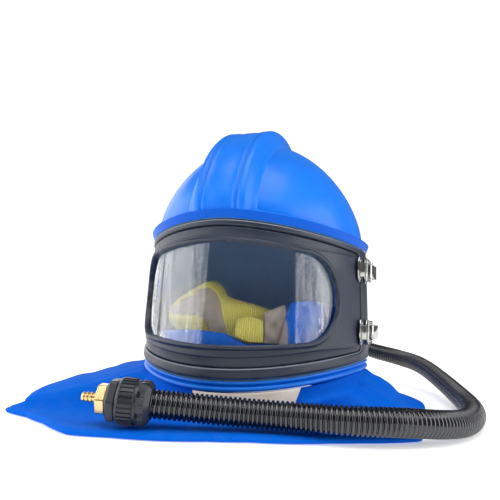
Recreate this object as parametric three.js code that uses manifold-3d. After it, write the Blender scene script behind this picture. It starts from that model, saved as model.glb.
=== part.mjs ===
// Sandblasting hood: a hollow moulded helmet with a hinged window door and two draw latches, resting on the
// bunched neck cloth and the spread cape, with a corrugated breathing hose that ends in its fittings.
// Millimetres, +Z up, the window faces -Y, the helmet's upright axis is x = y = 0 and the floor is z = 0.
import * as THREE from 'three';
import { mergeVertices } from 'three/addons/utils/BufferGeometryUtils.js';
import Module from 'manifold-3d';

const wasm = await Module();
wasm.setup();

// Helmet plan: half axes of the frame's face at the level where they are measured
const halfWidth = 130;
const halfDepth = 149;
const planLevel = 100;
const wallTaper = 0.026; // share that the plan shrinks in each 100 mm of height
const taperStep = 100;

// Heights at the front, from the floor up
const rimHeight = 34;
const collarHeight = 11;
const frameHeight = 155;
const brimHeight = 12;
const domeHeight = 104;
const lowerRise = 17; // the lower lines climb this much from the front to the sides
const upperDrop = 16; // the upper lines fall this much from the front to the sides

// Shell
const shellWall = 3;
const bodyInset = 7; // the shell's wall lies this far inside the frame's face
const rearInset = 1;
const domeInset = 5;
const domeRoundness = 1.58;
const brimReach = 2.5;
const collarInset = 5;
const collarBead = 3;
const ridgeWidth = 50; // across the band's top
const ridgeSpread = 8; // the band's sides slope out this much
const ridgeHeight = 14; // at the crest
const ridgeFootHeight = 5; // at the brim
const ridgeRibWidth = 4;
const ridgeRibHeight = 2;
const ridgeEmbed = 4;

// Door and surround frame, angles in degrees from the front
const doorHalfAngle = 79;
const surroundHalfAngle = 97;
const doorCorner = 10;
const surroundCorner = 16;
const upperBand = 7.5; // the surround's band above the door
const lowerBand = 11; // the surround's band below the door
const seam = 0.6; // gap between the door and the surround
const seat = 1.2; // gap between a frame and the shell behind it
const edgeGap = 1; // gap between the surround's outer edge and the brim or collar
const lowerStepHeight = 9;
const stepDepth = 1.4;

// Window and lens
const windowStraightAngle = 39.5;
const windowUpperMargin = 16;
const windowLowerMargin = 21;
const windowLowerRise = 11;
const lipWidth = 4;
const lipHeight = 2.2;
const lipBack = 2.6;
const lensThickness = 2;
const lensOverlap = 4;
const lensGap = 0.45;

// Hinge
const hingeAngle = -81;
const hingeStandoff = 6.8;
const hingeHeight = 60;
const hingeShare = 0.5226;
const knuckleRadius = 4.4;
const hingePinRadius = 2;
const hingeBore = 0.4;
const leafThickness = 2;
const leafLength = 20;
const knuckleGap = 0.5;

// Latches
const latchAngle = 85;
const latchUpperShare = 0.742; // heights of the latches and hinge as shares of the frame's height
const latchLowerShare = 0.303;
const plateHeight = 27;
const plateThickness = 1.6;
const plateGap = 0.6;
const basePlateLength = 22;
const keeperPlateLength = 17;
const keeperPlateCentre = -25; // measured along the wall from the latch's middle, towards the front
const keeperTabHeight = 4.6;
const keeperTabThickness = 1.8;
const keeperTabWidth = 15;
const leverPivotAlong = 2;
const leverPivotOut = 6;
const leverPinRadius = 1.5;
const leverBore = 0.35;
const leverBoss = 3.2;
const leverLength = 27;
const leverThickness = 2.4;
const leverWidth = 15;
const earGap = 0.5;
const earThickness = 1.8;
const earRadius = 3.4;
const bailArm = 8.5; // from the lever's pivot to the bail's pivot
const bailWire = 2.4;
const bailInset = 2; // how deep the bail's ends sit in the lever
const bailClearance = 0.6;
const rivetRadius = 2.1;
const rivetHeight = 0.9;
const rivetSpacing = 15;

// Cloth
const clothThickness = 2;
const capeHem = 7; // height of the folded edge
const capeFoldBack = 52;
const capeReach = 230;
const clothGap = 0.6;
const neckInset = 10; // the cape's neck lies this far inside the frame's face, under the rim
const innerCollarTop = 76;
const knitThickness = 4;
const knitRise = 64;
const knitLean = 18; // how far the mound leans out over the inner collar
const bunchRise = 49; // how far the inner collar's cloth is pushed up at most
const bibCentreAngle = 16;
const bibWidthAngle = 23;

// Hose and its fittings
const hoseDiameter = 25;
const hoseSides = 8;
const fittingGap = 0.3;
const nutDiameter = 40;
const nutLength = 29;
const glandAcrossFlats = 34;
const glandLength = 9;
const bushingAcrossFlats = 24;
const bushingLength = 10;
const barbDiameter = 9;
const barbLength = 12;
const inletDiameter = 25;
const inletFlange = 34;
const inletLength = 14;
const inletHeight = 105;
const inletFlangeThickness = 4;
const inletGap = 0.8;

// The hose's route is a few chosen points, from the inlet round the right side to the fittings in front
const hoseRoute = [
  [0, 167.4, 105],
  [0, 190, 104],
  [6, 224, 96],
  [29, 261, 82],
  [66, 284, 66.5],
  [109, 290, 53.5],
  [150, 277, 46],
  [177, 254, 41],
  [195, 223, 35],
  [213.5, 176, 25.5],
  [227, 130, 18],
  [236.5, 80, 13.4],
  [240, 30, 12.8],
  [238, -18, 12.8],
  [227.5, -62, 13.2],
  [206.5, -101, 16.8],
  [174, -131, 20.6],
  [133, -149, 21.4],
  [92, -156, 21.4],
  [53, -163.5, 21.6],
  [24, -174.5, 23.2],
  [-4, -186, 25.4],
  [-31, -195.5, 27.2],
];

// Derived levels at the front
const frameBottom = rimHeight + collarHeight;
const frameTop = frameBottom + frameHeight;
const brimTop = frameTop + brimHeight;
const domeTop = brimTop + domeHeight;
const doorBottom = frameBottom + lowerBand;
const doorTop = frameTop - upperBand;
const windowBottom = doorBottom + windowLowerMargin;
const latchUpperHeight = frameBottom + latchUpperShare * frameHeight;
const latchLowerHeight = frameBottom + latchLowerShare * frameHeight;
const hingeMiddle = frameBottom + hingeShare * frameHeight;
const windowTop = doorTop - windowUpperMargin;

const radians = THREE.MathUtils.degToRad;
const around = 36;
const clothAround = 28;
const domeSteps = 9;
const innerDomeSteps = 7;

const finishes = {
  shellBlue: { color: 0x1256b8, roughness: 0.3, metalness: 0 },
  frameGrey: { color: 0x33383f, roughness: 0.5, metalness: 0 },
  lens: { color: 0xd8e4e8, roughness: 0.08, metalness: 0, transparent: true, opacity: 0.3 },
  chrome: { color: 0xc9ccd0, roughness: 0.2, metalness: 1 },
  clothBlue: { color: 0x123a9c, roughness: 0.7, metalness: 0 },
  clothBeige: { color: 0xd3c8b6, roughness: 0.9, metalness: 0 },
  knitYellow: { color: 0xc9b64e, roughness: 0.95, metalness: 0 },
  rubberBlack: { color: 0x101214, roughness: 0.35, metalness: 0 },
  plasticGrey: { color: 0x2a2d31, roughness: 0.5, metalness: 0 },
  brass: { color: 0xc79a4a, roughness: 0.3, metalness: 1 },
};

const hood = new THREE.Group();

function addPiece(name, geometry, finish) {
  const piece = new THREE.Mesh(geometry, new THREE.MeshStandardMaterial(finishes[finish]));
  piece.name = name;
  hood.add(piece);
  return piece;
}

// A point on the upright wall: angle in radians from the front, height, distance outside the frame's face
function wallPoint(angle, height, out) {
  const shrink = 1 - (wallTaper * (height - planLevel)) / taperStep;
  return new THREE.Vector3(
    (halfWidth + out) * shrink * Math.sin(angle),
    -(halfDepth + out) * shrink * Math.cos(angle),
    height,
  );
}

// Length along the wall for one radian
function wallRate(angle) {
  return Math.hypot(halfWidth * Math.cos(angle), halfDepth * Math.sin(angle));
}

function lowerLine(level, angle, rise = lowerRise) {
  return level + rise * Math.sin(angle) ** 2;
}

function upperLine(level, angle) {
  const turn = Math.abs(angle) < Math.PI / 2 ? Math.abs(Math.sin(angle)) ** 1.6 : 1;
  return level - upperDrop * turn;
}

// A closed mesh from rings of equal length. Rings are stacked with capped ends, or joined into a loop.
function ringSolid(rings, looped = false) {
  const sides = rings[0].length;
  const positions = rings.flat().flatMap((point) => [point.x, point.y, point.z]);
  const faces = [];
  const last = looped ? rings.length : rings.length - 1;
  for (let ring = 0; ring < last; ring += 1) {
    const next = (ring + 1) % rings.length;
    for (let side = 0; side < sides; side += 1) {
      const turn = (side + 1) % sides;
      const a = ring * sides + side;
      const b = ring * sides + turn;
      const c = next * sides + turn;
      const d = next * sides + side;
      faces.push(a, b, c, a, c, d);
    }
  }
  if (!looped) {
    [0, rings.length - 1].forEach((ring) => {
      const middle = new THREE.Vector3();
      rings[ring].forEach((point) => middle.addScaledVector(point, 1 / sides));
      const centre = positions.length / 3;
      positions.push(middle.x, middle.y, middle.z);
      for (let side = 0; side < sides; side += 1) {
        const a = ring * sides + side;
        const b = ring * sides + ((side + 1) % sides);
        faces.push(...(ring === 0 ? [b, a, centre] : [a, b, centre]));
      }
    });
  }
  return outwardGeometry(positions, faces);
}

// Turns the faces outwards, told by the sign of the enclosed volume
function outwardGeometry(positions, faces) {
  let volume = 0;
  const corner = (index) => new THREE.Vector3().fromArray(positions, index * 3);
  for (let face = 0; face < faces.length; face += 3) {
    const [a, b, c] = [faces[face], faces[face + 1], faces[face + 2]];
    volume += corner(a).dot(corner(b).cross(corner(c)));
  }
  const turned = [...faces];
  if (volume < 0) {
    for (let face = 0; face < faces.length; face += 3) {
      turned[face + 1] = faces[face + 2];
      turned[face + 2] = faces[face + 1];
    }
  }
  const geometry = new THREE.BufferGeometry();
  geometry.setAttribute('position', new THREE.Float32BufferAttribute(positions, 3));
  geometry.setIndex(turned);
  geometry.computeVertexNormals();
  return geometry;
}

function toManifold(geometry) {
  const bare = geometry.clone();
  bare.deleteAttribute('normal');
  bare.deleteAttribute('uv');
  const welded = mergeVertices(bare, 1e-4);
  return new wasm.Manifold(new wasm.Mesh({
    numProp: 3,
    vertProperties: Float32Array.from(welded.attributes.position.array),
    triVerts: Uint32Array.from(welded.index.array),
  }));
}

function fromManifold(solid) {
  const mesh = solid.getMesh();
  const geometry = new THREE.BufferGeometry();
  geometry.setAttribute('position', new THREE.BufferAttribute(mesh.vertProperties, 3));
  geometry.setIndex(new THREE.BufferAttribute(mesh.triVerts, 1));
  geometry.computeVertexNormals();
  return geometry;
}

// Joins a list of geometries into one solid
function joined(geometries) {
  const solids = geometries.map(toManifold);
  return fromManifold(solids.reduce((whole, solid) => whole.add(solid)));
}

// Shell

function bodyOffset(angle) {
  const past = (Math.abs(angle) - radians(surroundHalfAngle + 3)) / radians(12);
  const share = Math.min(1, Math.max(0, past));
  return -bodyInset + (bodyInset - rearInset) * share;
}

function domePoint(angle, share, inset) {
  const base = upperLine(brimTop, angle);
  const level = base + (domeTop - inset - base) * share;
  const narrow = Math.sqrt(1 - share ** domeRoundness);
  const foot = wallPoint(angle, base, -domeInset - inset);
  return new THREE.Vector3(foot.x * narrow, foot.y * narrow, level);
}

// Share of the dome's height at a step from its foot to its top
function domeShare(step, steps) {
  return Math.sin((Math.PI / 2) * (step / steps)) ** (2 / domeRoundness);
}

function shellAngles() {
  return Array.from({ length: around }, (unused, step) => -Math.PI + (2 * Math.PI * step) / around);
}

function shellOuter() {
  // Each row of the collar and brim: line it follows, share of the height above that line, distance out
  const collarRows = [
    { up: 0, out: -collarInset },
    { up: 0.16, out: -collarInset + collarBead },
    { up: 0.4, out: -collarInset + collarBead },
    { up: 0.5, out: -collarInset },
    { up: 0.6, out: -collarInset + collarBead },
    { up: 0.86, out: -collarInset + collarBead },
    { up: 1, out: -bodyInset },
  ];
  const brimRows = [
    { up: 0.05, out: brimReach - 0.8 },
    { up: 0.3, out: brimReach },
    { up: 0.62, out: brimReach - 0.6 },
    { up: 0.85, out: -0.6 * domeInset },
  ];
  const angles = shellAngles();
  const rings = collarRows.map((row) => angles.map((angle) => {
    const out = row.out + (row.up === 1 ? bodyOffset(angle) + bodyInset : 0);
    return wallPoint(angle, lowerLine(rimHeight, angle) + row.up * collarHeight, out);
  }));
  rings.push(angles.map((angle) => wallPoint(angle, upperLine(frameTop, angle), bodyOffset(angle))));
  brimRows.forEach((row) => {
    rings.push(angles.map((angle) => wallPoint(angle, upperLine(frameTop, angle) + row.up * brimHeight, row.out)));
  });
  for (let step = 0; step < domeSteps; step += 1) {
    rings.push(angles.map((angle) => domePoint(angle, domeShare(step, domeSteps), 0)));
  }
  return toManifold(ringSolid(rings));
}

function shellInner() {
  const angles = shellAngles();
  const under = 5; // the cutter runs this far below the rim
  const rings = [
    angles.map((angle) => wallPoint(angle, lowerLine(rimHeight, angle) - under, -bodyInset - shellWall)),
    angles.map((angle) => wallPoint(angle, lowerLine(frameBottom, angle), bodyOffset(angle) - shellWall)),
    angles.map((angle) => wallPoint(angle, upperLine(frameTop, angle), bodyOffset(angle) - shellWall)),
  ];
  for (let step = 0; step < innerDomeSteps; step += 1) {
    const inset = shellWall + ridgeEmbed * 0.5;
    rings.push(angles.map((angle) => domePoint(angle, domeShare(step, innerDomeSteps), inset)));
  }
  return toManifold(ringSolid(rings));
}

// The raised band over the dome from front to back, a double rib along each side
function ridgeBand() {
  const half = ridgeWidth / 2;
  const rib = ridgeRibWidth;
  // Each row: distance to the side, and how far it lies under the ribs' top
  const profile = [
    { side: -half - ridgeSpread, sunk: true },
    { side: -half, under: 0.6 * ridgeRibHeight },
    { side: -half + 0.4 * rib, under: 0 },
    { side: -half + rib, under: 0 },
    { side: -half + 1.5 * rib, under: ridgeRibHeight },
    { side: -half + 2 * rib, under: 0.5 * ridgeRibHeight },
    { side: half - 2 * rib, under: 0.5 * ridgeRibHeight },
    { side: half - 1.5 * rib, under: ridgeRibHeight },
    { side: half - rib, under: 0 },
    { side: half - 0.4 * rib, under: 0 },
    { side: half, under: 0.6 * ridgeRibHeight },
    { side: half + ridgeSpread, sunk: true },
  ];
  const spine = [];
  const arcSteps = 8;
  for (let step = 0; step <= arcSteps; step += 1) {
    const share = domeShare(step, arcSteps);
    spine.push({ share, point: domePoint(0, share, 0) });
  }
  for (let step = arcSteps - 1; step >= 0; step -= 1) {
    const share = domeShare(step, arcSteps);
    spine.push({ share, point: domePoint(Math.PI, share, 0) });
  }
  const rings = spine.map(({ share, point }, index) => {
    const before = spine[Math.max(0, index - 1)].point;
    const after = spine[Math.min(spine.length - 1, index + 1)].point;
    const along = after.clone().sub(before).normalize();
    const up = new THREE.Vector3(0, -along.z, along.y);
    const top = ridgeFootHeight + (ridgeHeight - ridgeFootHeight) * share ** 0.7;
    return profile.map((row) => point.clone()
      .addScaledVector(up, row.sunk ? -ridgeEmbed : top - row.under)
      .add(new THREE.Vector3(row.side, 0, 0)));
  });
  return toManifold(ringSolid(rings));
}

// Window outline: half of the end circle's height, and its middle level
function windowEnd(grow) {
  const angle = radians(windowStraightAngle);
  const top = upperLine(windowTop, angle) + grow;
  const bottom = lowerLine(windowBottom, angle, windowLowerRise) - grow;
  return { angle, radius: (top - bottom) / 2, level: (top + bottom) / 2 };
}

// A curved panel that fills the window outline grown by some distance, between two distances from the face
function windowPanel(grow, outer, inner) {
  const end = windowEnd(grow);
  const straightSteps = 14;
  const endSteps = 6;
  const lastTurn = radians(82);
  const columns = [];
  const endColumn = (side, turn) => {
    const angle = side * (end.angle + (end.radius * Math.sin(turn)) / wallRate(end.angle));
    const half = end.radius * Math.cos(turn);
    return { angle, top: end.level + half, bottom: end.level - half };
  };
  for (let step = endSteps; step >= 1; step -= 1) columns.push(endColumn(-1, (lastTurn * step) / endSteps));
  for (let step = 0; step <= straightSteps; step += 1) {
    const angle = end.angle * ((2 * step) / straightSteps - 1);
    const top = upperLine(windowTop, angle) + grow;
    const bottom = lowerLine(windowBottom, angle, windowLowerRise) - grow;
    columns.push({ angle, top, bottom });
  }
  for (let step = 1; step <= endSteps; step += 1) columns.push(endColumn(1, (lastTurn * step) / endSteps));
  const rings = columns.map((column) => [
    wallPoint(column.angle, column.bottom, outer),
    wallPoint(column.angle, column.top, outer),
    wallPoint(column.angle, column.top, inner),
    wallPoint(column.angle, column.bottom, inner),
  ]);
  return ringSolid(rings);
}

function makeShell() {
  const cutter = toManifold(windowPanel(lensOverlap + 4, brimReach, -bodyInset - shellWall - 8));
  const body = shellOuter().add(ridgeBand()).subtract(shellInner()).subtract(cutter);
  return fromManifold(body);
}

// Frames: an outline is a loop of {angle, height}, the same number of points for every frame edge

const outlineSteps = 11;
const outlineEndSteps = 18;

function windowOutline(grow = 0) {
  const end = windowEnd(grow);
  const loop = [];
  for (let step = 0; step <= outlineSteps; step += 1) {
    const angle = end.angle * ((2 * step) / outlineSteps - 1);
    loop.push({ angle, height: upperLine(windowTop, angle) + grow });
  }
  const endPoint = (side, turn) => ({
    angle: side * (end.angle + (end.radius * Math.cos(turn)) / wallRate(end.angle)),
    height: end.level + end.radius * Math.sin(turn),
  });
  for (let step = 1; step < outlineEndSteps; step += 1) {
    loop.push(endPoint(1, Math.PI / 2 - (Math.PI * step) / outlineEndSteps));
  }
  for (let step = 0; step <= outlineSteps; step += 1) {
    const angle = end.angle * (1 - (2 * step) / outlineSteps);
    loop.push({ angle, height: lowerLine(windowBottom, angle, windowLowerRise) - grow });
  }
  for (let step = 1; step < outlineEndSteps; step += 1) {
    loop.push(endPoint(-1, -Math.PI / 2 + (Math.PI * step) / outlineEndSteps));
  }
  return loop;
}

// The outline of a frame's edge: upper and lower line, upright ends and rounded corners. Its end points lie on
// rays from the middle of the window's round end, so that they face the window's own outline points.
function frameOutline(halfAngle, corner, top, bottom) {
  const end = windowEnd(0);
  const rate = wallRate(end.angle);
  const limit = radians(halfAngle);
  const cornerAngle = limit - corner / rate;
  const isInside = (angle, height) => {
    const upper = upperLine(top, angle);
    const lower = lowerLine(bottom, angle);
    if (angle > limit || height > upper || height < lower) return false;
    const past = (angle - cornerAngle) * rate;
    const over = Math.max(height - (upper - corner), lower + corner - height);
    return past < 0 || over < 0 || Math.hypot(past, over) < corner;
  };
  const rayPoint = (turn) => {
    let near = 0;
    let far = 3 * halfDepth;
    for (let halving = 0; halving < 30; halving += 1) {
      const middle = (near + far) / 2;
      const angle = end.angle + (middle * Math.cos(turn)) / rate;
      if (isInside(angle, end.level + middle * Math.sin(turn))) near = middle;
      else far = middle;
    }
    return { angle: end.angle + (near * Math.cos(turn)) / rate, height: end.level + near * Math.sin(turn) };
  };
  const endPoints = [];
  for (let step = 1; step < outlineEndSteps; step += 1) {
    endPoints.push(rayPoint(Math.PI / 2 - (Math.PI * step) / outlineEndSteps));
  }
  const loop = [];
  for (let step = 0; step <= outlineSteps; step += 1) {
    const angle = end.angle * ((2 * step) / outlineSteps - 1);
    loop.push({ angle, height: upperLine(top, angle) });
  }
  loop.push(...endPoints);
  for (let step = 0; step <= outlineSteps; step += 1) {
    const angle = end.angle * (1 - (2 * step) / outlineSteps);
    loop.push({ angle, height: lowerLine(bottom, angle) });
  }
  endPoints.reverse().forEach((point) => loop.push({ angle: -point.angle, height: point.height }));
  return loop;
}

// A frame between two outlines. A section row lies some millimetres from the inner or outer outline, or at a
// share of the way across.
function frameSolid(innerLoop, outerLoop, rows) {
  const rings = innerLoop.map((inner, index) => {
    const outer = outerLoop[index];
    const rate = wallRate((inner.angle + outer.angle) / 2);
    const span = Math.hypot((outer.angle - inner.angle) * rate, outer.height - inner.height);
    return rows.map((row) => {
      const shares = { inner: row.gap / span, outer: 1 - row.gap / span, across: row.gap };
      const share = shares[row.from];
      const angle = inner.angle + (outer.angle - inner.angle) * share;
      const height = inner.height + (outer.height - inner.height) * share;
      return wallPoint(angle, height, row.out);
    });
  });
  return ringSolid(rings, true);
}

function makeDoor() {
  const back = -bodyInset + seat;
  const rebate = lensOverlap + lensGap;
  const rows = [
    { from: 'inner', gap: 0, out: -lipBack },
    { from: 'inner', gap: 0, out: lipHeight - 0.7 },
    { from: 'inner', gap: 0.3 * lipWidth, out: lipHeight },
    { from: 'inner', gap: 0.8 * lipWidth, out: lipHeight },
    { from: 'inner', gap: lipWidth, out: 0 },
    { from: 'across', gap: 0.36, out: 0 },
    { from: 'outer', gap: lowerStepHeight + 1, out: 0 },
    { from: 'outer', gap: lowerStepHeight, out: -stepDepth },
    { from: 'outer', gap: 1, out: -stepDepth },
    { from: 'outer', gap: 0, out: -stepDepth - 1 },
    { from: 'outer', gap: 0, out: back },
    { from: 'across', gap: 0.7, out: back },
    { from: 'across', gap: 0.4, out: back },
    { from: 'inner', gap: rebate, out: back },
    { from: 'inner', gap: rebate, out: -lipBack },
  ];
  const edge = frameOutline(doorHalfAngle, doorCorner, doorTop - seam / 2, doorBottom + seam / 2);
  return frameSolid(windowOutline(), edge, rows);
}

function makeSurround() {
  const back = -bodyInset + seat;
  const rows = [
    { from: 'inner', gap: 0, out: -stepDepth - 1 },
    { from: 'inner', gap: 1, out: -0.4 },
    { from: 'across', gap: 0.36, out: 0 },
    { from: 'across', gap: 0.68, out: 0 },
    { from: 'outer', gap: 1.2, out: 0 },
    { from: 'outer', gap: 0, out: -1.2 },
    { from: 'outer', gap: 0, out: back },
    { from: 'across', gap: 0.68, out: back },
    { from: 'across', gap: 0.36, out: back },
    { from: 'inner', gap: 0, out: back },
  ];
  const seamAngle = THREE.MathUtils.radToDeg(seam / wallRate(radians(doorHalfAngle)));
  const doorway = frameOutline(
    doorHalfAngle + seamAngle,
    doorCorner + seam / 2,
    doorTop + seam / 2,
    doorBottom - seam / 2,
  );
  const edge = frameOutline(surroundHalfAngle, surroundCorner, frameTop - edgeGap, frameBottom + edgeGap);
  return frameSolid(doorway, edge, rows);
}

// Hinge: a fixed leaf with two end knuckles and the pin, a door leaf with the middle knuckle

function hingeAxis() {
  return wallPoint(radians(hingeAngle), planLevel, hingeStandoff).setZ(hingeMiddle);
}

function uprightCylinder(radius, height, level, centre, bore = 0) {
  const shape = new THREE.Shape().absarc(0, 0, radius, 0, 2 * Math.PI, false);
  if (bore > 0) shape.holes.push(new THREE.Path().absarc(0, 0, bore, 0, 2 * Math.PI, true));
  const geometry = new THREE.ExtrudeGeometry(shape, { depth: height, bevelEnabled: false, curveSegments: 8 });
  geometry.translate(centre.x, centre.y, level);
  return geometry;
}

// A curved leaf along the wall, from one angle to another
function wallLeaf(fromAngle, toAngle, low, high, inner, outer) {
  const steps = 4;
  const rings = [];
  for (let step = 0; step <= steps; step += 1) {
    const angle = fromAngle + ((toAngle - fromAngle) * step) / steps;
    rings.push([
      wallPoint(angle, low, outer),
      wallPoint(angle, high, outer),
      wallPoint(angle, high, inner),
      wallPoint(angle, low, inner),
    ]);
  }
  return ringSolid(rings);
}

// The web runs from the leaf to the knuckle, radially
function knuckleWeb(leafAngle, low, high, axis, half) {
  const foot = wallPoint(leafAngle, planLevel, plateGap + leafThickness * 0.5);
  const along = new THREE.Vector2(axis.x - foot.x, axis.y - foot.y);
  const length = along.length();
  const shape = new THREE.Shape([
    new THREE.Vector2(0, -half),
    new THREE.Vector2(length, -half),
    new THREE.Vector2(length, half),
    new THREE.Vector2(0, half),
  ]);
  const web = new THREE.ExtrudeGeometry(shape, { depth: high - low, bevelEnabled: false });
  web.rotateZ(Math.atan2(along.y, along.x));
  web.translate(foot.x, foot.y, low);
  return web;
}

function makeHinge() {
  const axis = hingeAxis();
  const low = hingeMiddle - hingeHeight / 2;
  const high = hingeMiddle + hingeHeight / 2;
  const third = hingeHeight / 3;
  const rate = wallRate(radians(hingeAngle));
  const seamAngle = radians(-doorHalfAngle);
  const margin = (0.5 * seam + 1.2) / rate;
  const inner = plateGap;
  const outer = plateGap + leafThickness;

  const fixedNear = seamAngle - margin - seam / rate;
  const fixedLeaf = [
    wallLeaf(fixedNear, fixedNear - leafLength / rate, low, high, inner, outer),
    uprightCylinder(knuckleRadius, third - knuckleGap, low, axis),
    uprightCylinder(knuckleRadius, third - knuckleGap, high - third + knuckleGap, axis),
    uprightCylinder(hingePinRadius, hingeHeight - 2, low + 1, axis),
  ];
  [[low, low + third - knuckleGap], [high - third + knuckleGap, high]].forEach(([from, to]) => {
    fixedLeaf.push(knuckleWeb(fixedNear - 2.2 / rate, from, to, axis, 1.2));
  });
  addPiece('hinge_leaf_fixed', joined(fixedLeaf), 'chrome');

  const doorNear = seamAngle + margin;
  const doorParts = [
    wallLeaf(doorNear, doorNear + leafLength / rate, low, high, inner, outer),
    uprightCylinder(knuckleRadius, third, low + third, axis),
    knuckleWeb(doorNear + 2.2 / rate, low + third, high - third, axis, 1.2),
  ].map(toManifold);
  const bore = toManifold(uprightCylinder(hingePinRadius + hingeBore, third + 4, low + third - 2, axis));
  const doorLeaf = doorParts.reduce((whole, solid) => whole.add(solid)).subtract(bore);
  addPiece('hinge_leaf_door', fromManifold(doorLeaf), 'chrome');
}

// Latches are drawn flat: X along the wall towards the back, Y out of the wall, extruded along the height

function latchPlace(height) {
  const angle = radians(latchAngle);
  const foot = wallPoint(angle, height, 0);
  const along = wallPoint(angle + 0.01, height, 0).sub(foot).normalize();
  const out = new THREE.Vector3(along.y, -along.x, 0);
  const down = new THREE.Vector3(0, 0, -1);
  return new THREE.Matrix4().makeBasis(along, out, down).setPosition(foot);
}

// How far the convex wall falls away from the flat latch plane at a distance along it
function wallSag(along) {
  const rate = wallRate(radians(latchAngle));
  const curve = (halfWidth * halfDepth) / rate ** 3;
  return 0.5 * along ** 2 * curve;
}

function slab(points, width, centre = 0, holes = []) {
  const shape = new THREE.Shape(points.map(([along, out]) => new THREE.Vector2(along, out)));
  holes.forEach(([along, out, radius]) => {
    shape.holes.push(new THREE.Path().absarc(along, out, radius, 0, 2 * Math.PI, true));
  });
  const geometry = new THREE.ExtrudeGeometry(shape, { depth: width, bevelEnabled: false, curveSegments: 8 });
  geometry.translate(0, 0, centre - width / 2);
  return geometry;
}

function box(fromAlong, toAlong, fromOut, toOut, width, centre = 0) {
  return slab([[fromAlong, fromOut], [toAlong, fromOut], [toAlong, toOut], [fromAlong, toOut]], width, centre);
}

function rod(radius, length, along, out, centre = 0) {
  const geometry = new THREE.CylinderGeometry(radius, radius, length, 8);
  geometry.rotateX(Math.PI / 2);
  geometry.translate(along, out, centre);
  return geometry;
}

// An almond plate with two rivets, lying flat on the wall
function almondPlate(length, centre, out) {
  const half = length / 2;
  const tall = plateHeight / 2;
  const shape = new THREE.Shape();
  shape.moveTo(-0.45 * half, -tall);
  shape.lineTo(0.45 * half, -tall);
  shape.quadraticCurveTo(1.25 * half, 0, 0.45 * half, tall);
  shape.lineTo(-0.45 * half, tall);
  shape.quadraticCurveTo(-1.25 * half, 0, -0.45 * half, -tall);
  const plate = new THREE.ExtrudeGeometry(shape, { depth: plateThickness, bevelEnabled: false, curveSegments: 5 });
  plate.rotateX(-Math.PI / 2);
  plate.translate(centre, out, 0);
  const rivets = [-0.5, 0.5].map((share) => {
    const rivet = new THREE.CylinderGeometry(0.8 * rivetRadius, rivetRadius, rivetHeight + 0.4, 8);
    rivet.translate(centre, out + plateThickness + rivetHeight / 2 - 0.2, share * 1.3 * rivetSpacing);
    return rivet;
  });
  return [plate, ...rivets];
}

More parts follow.
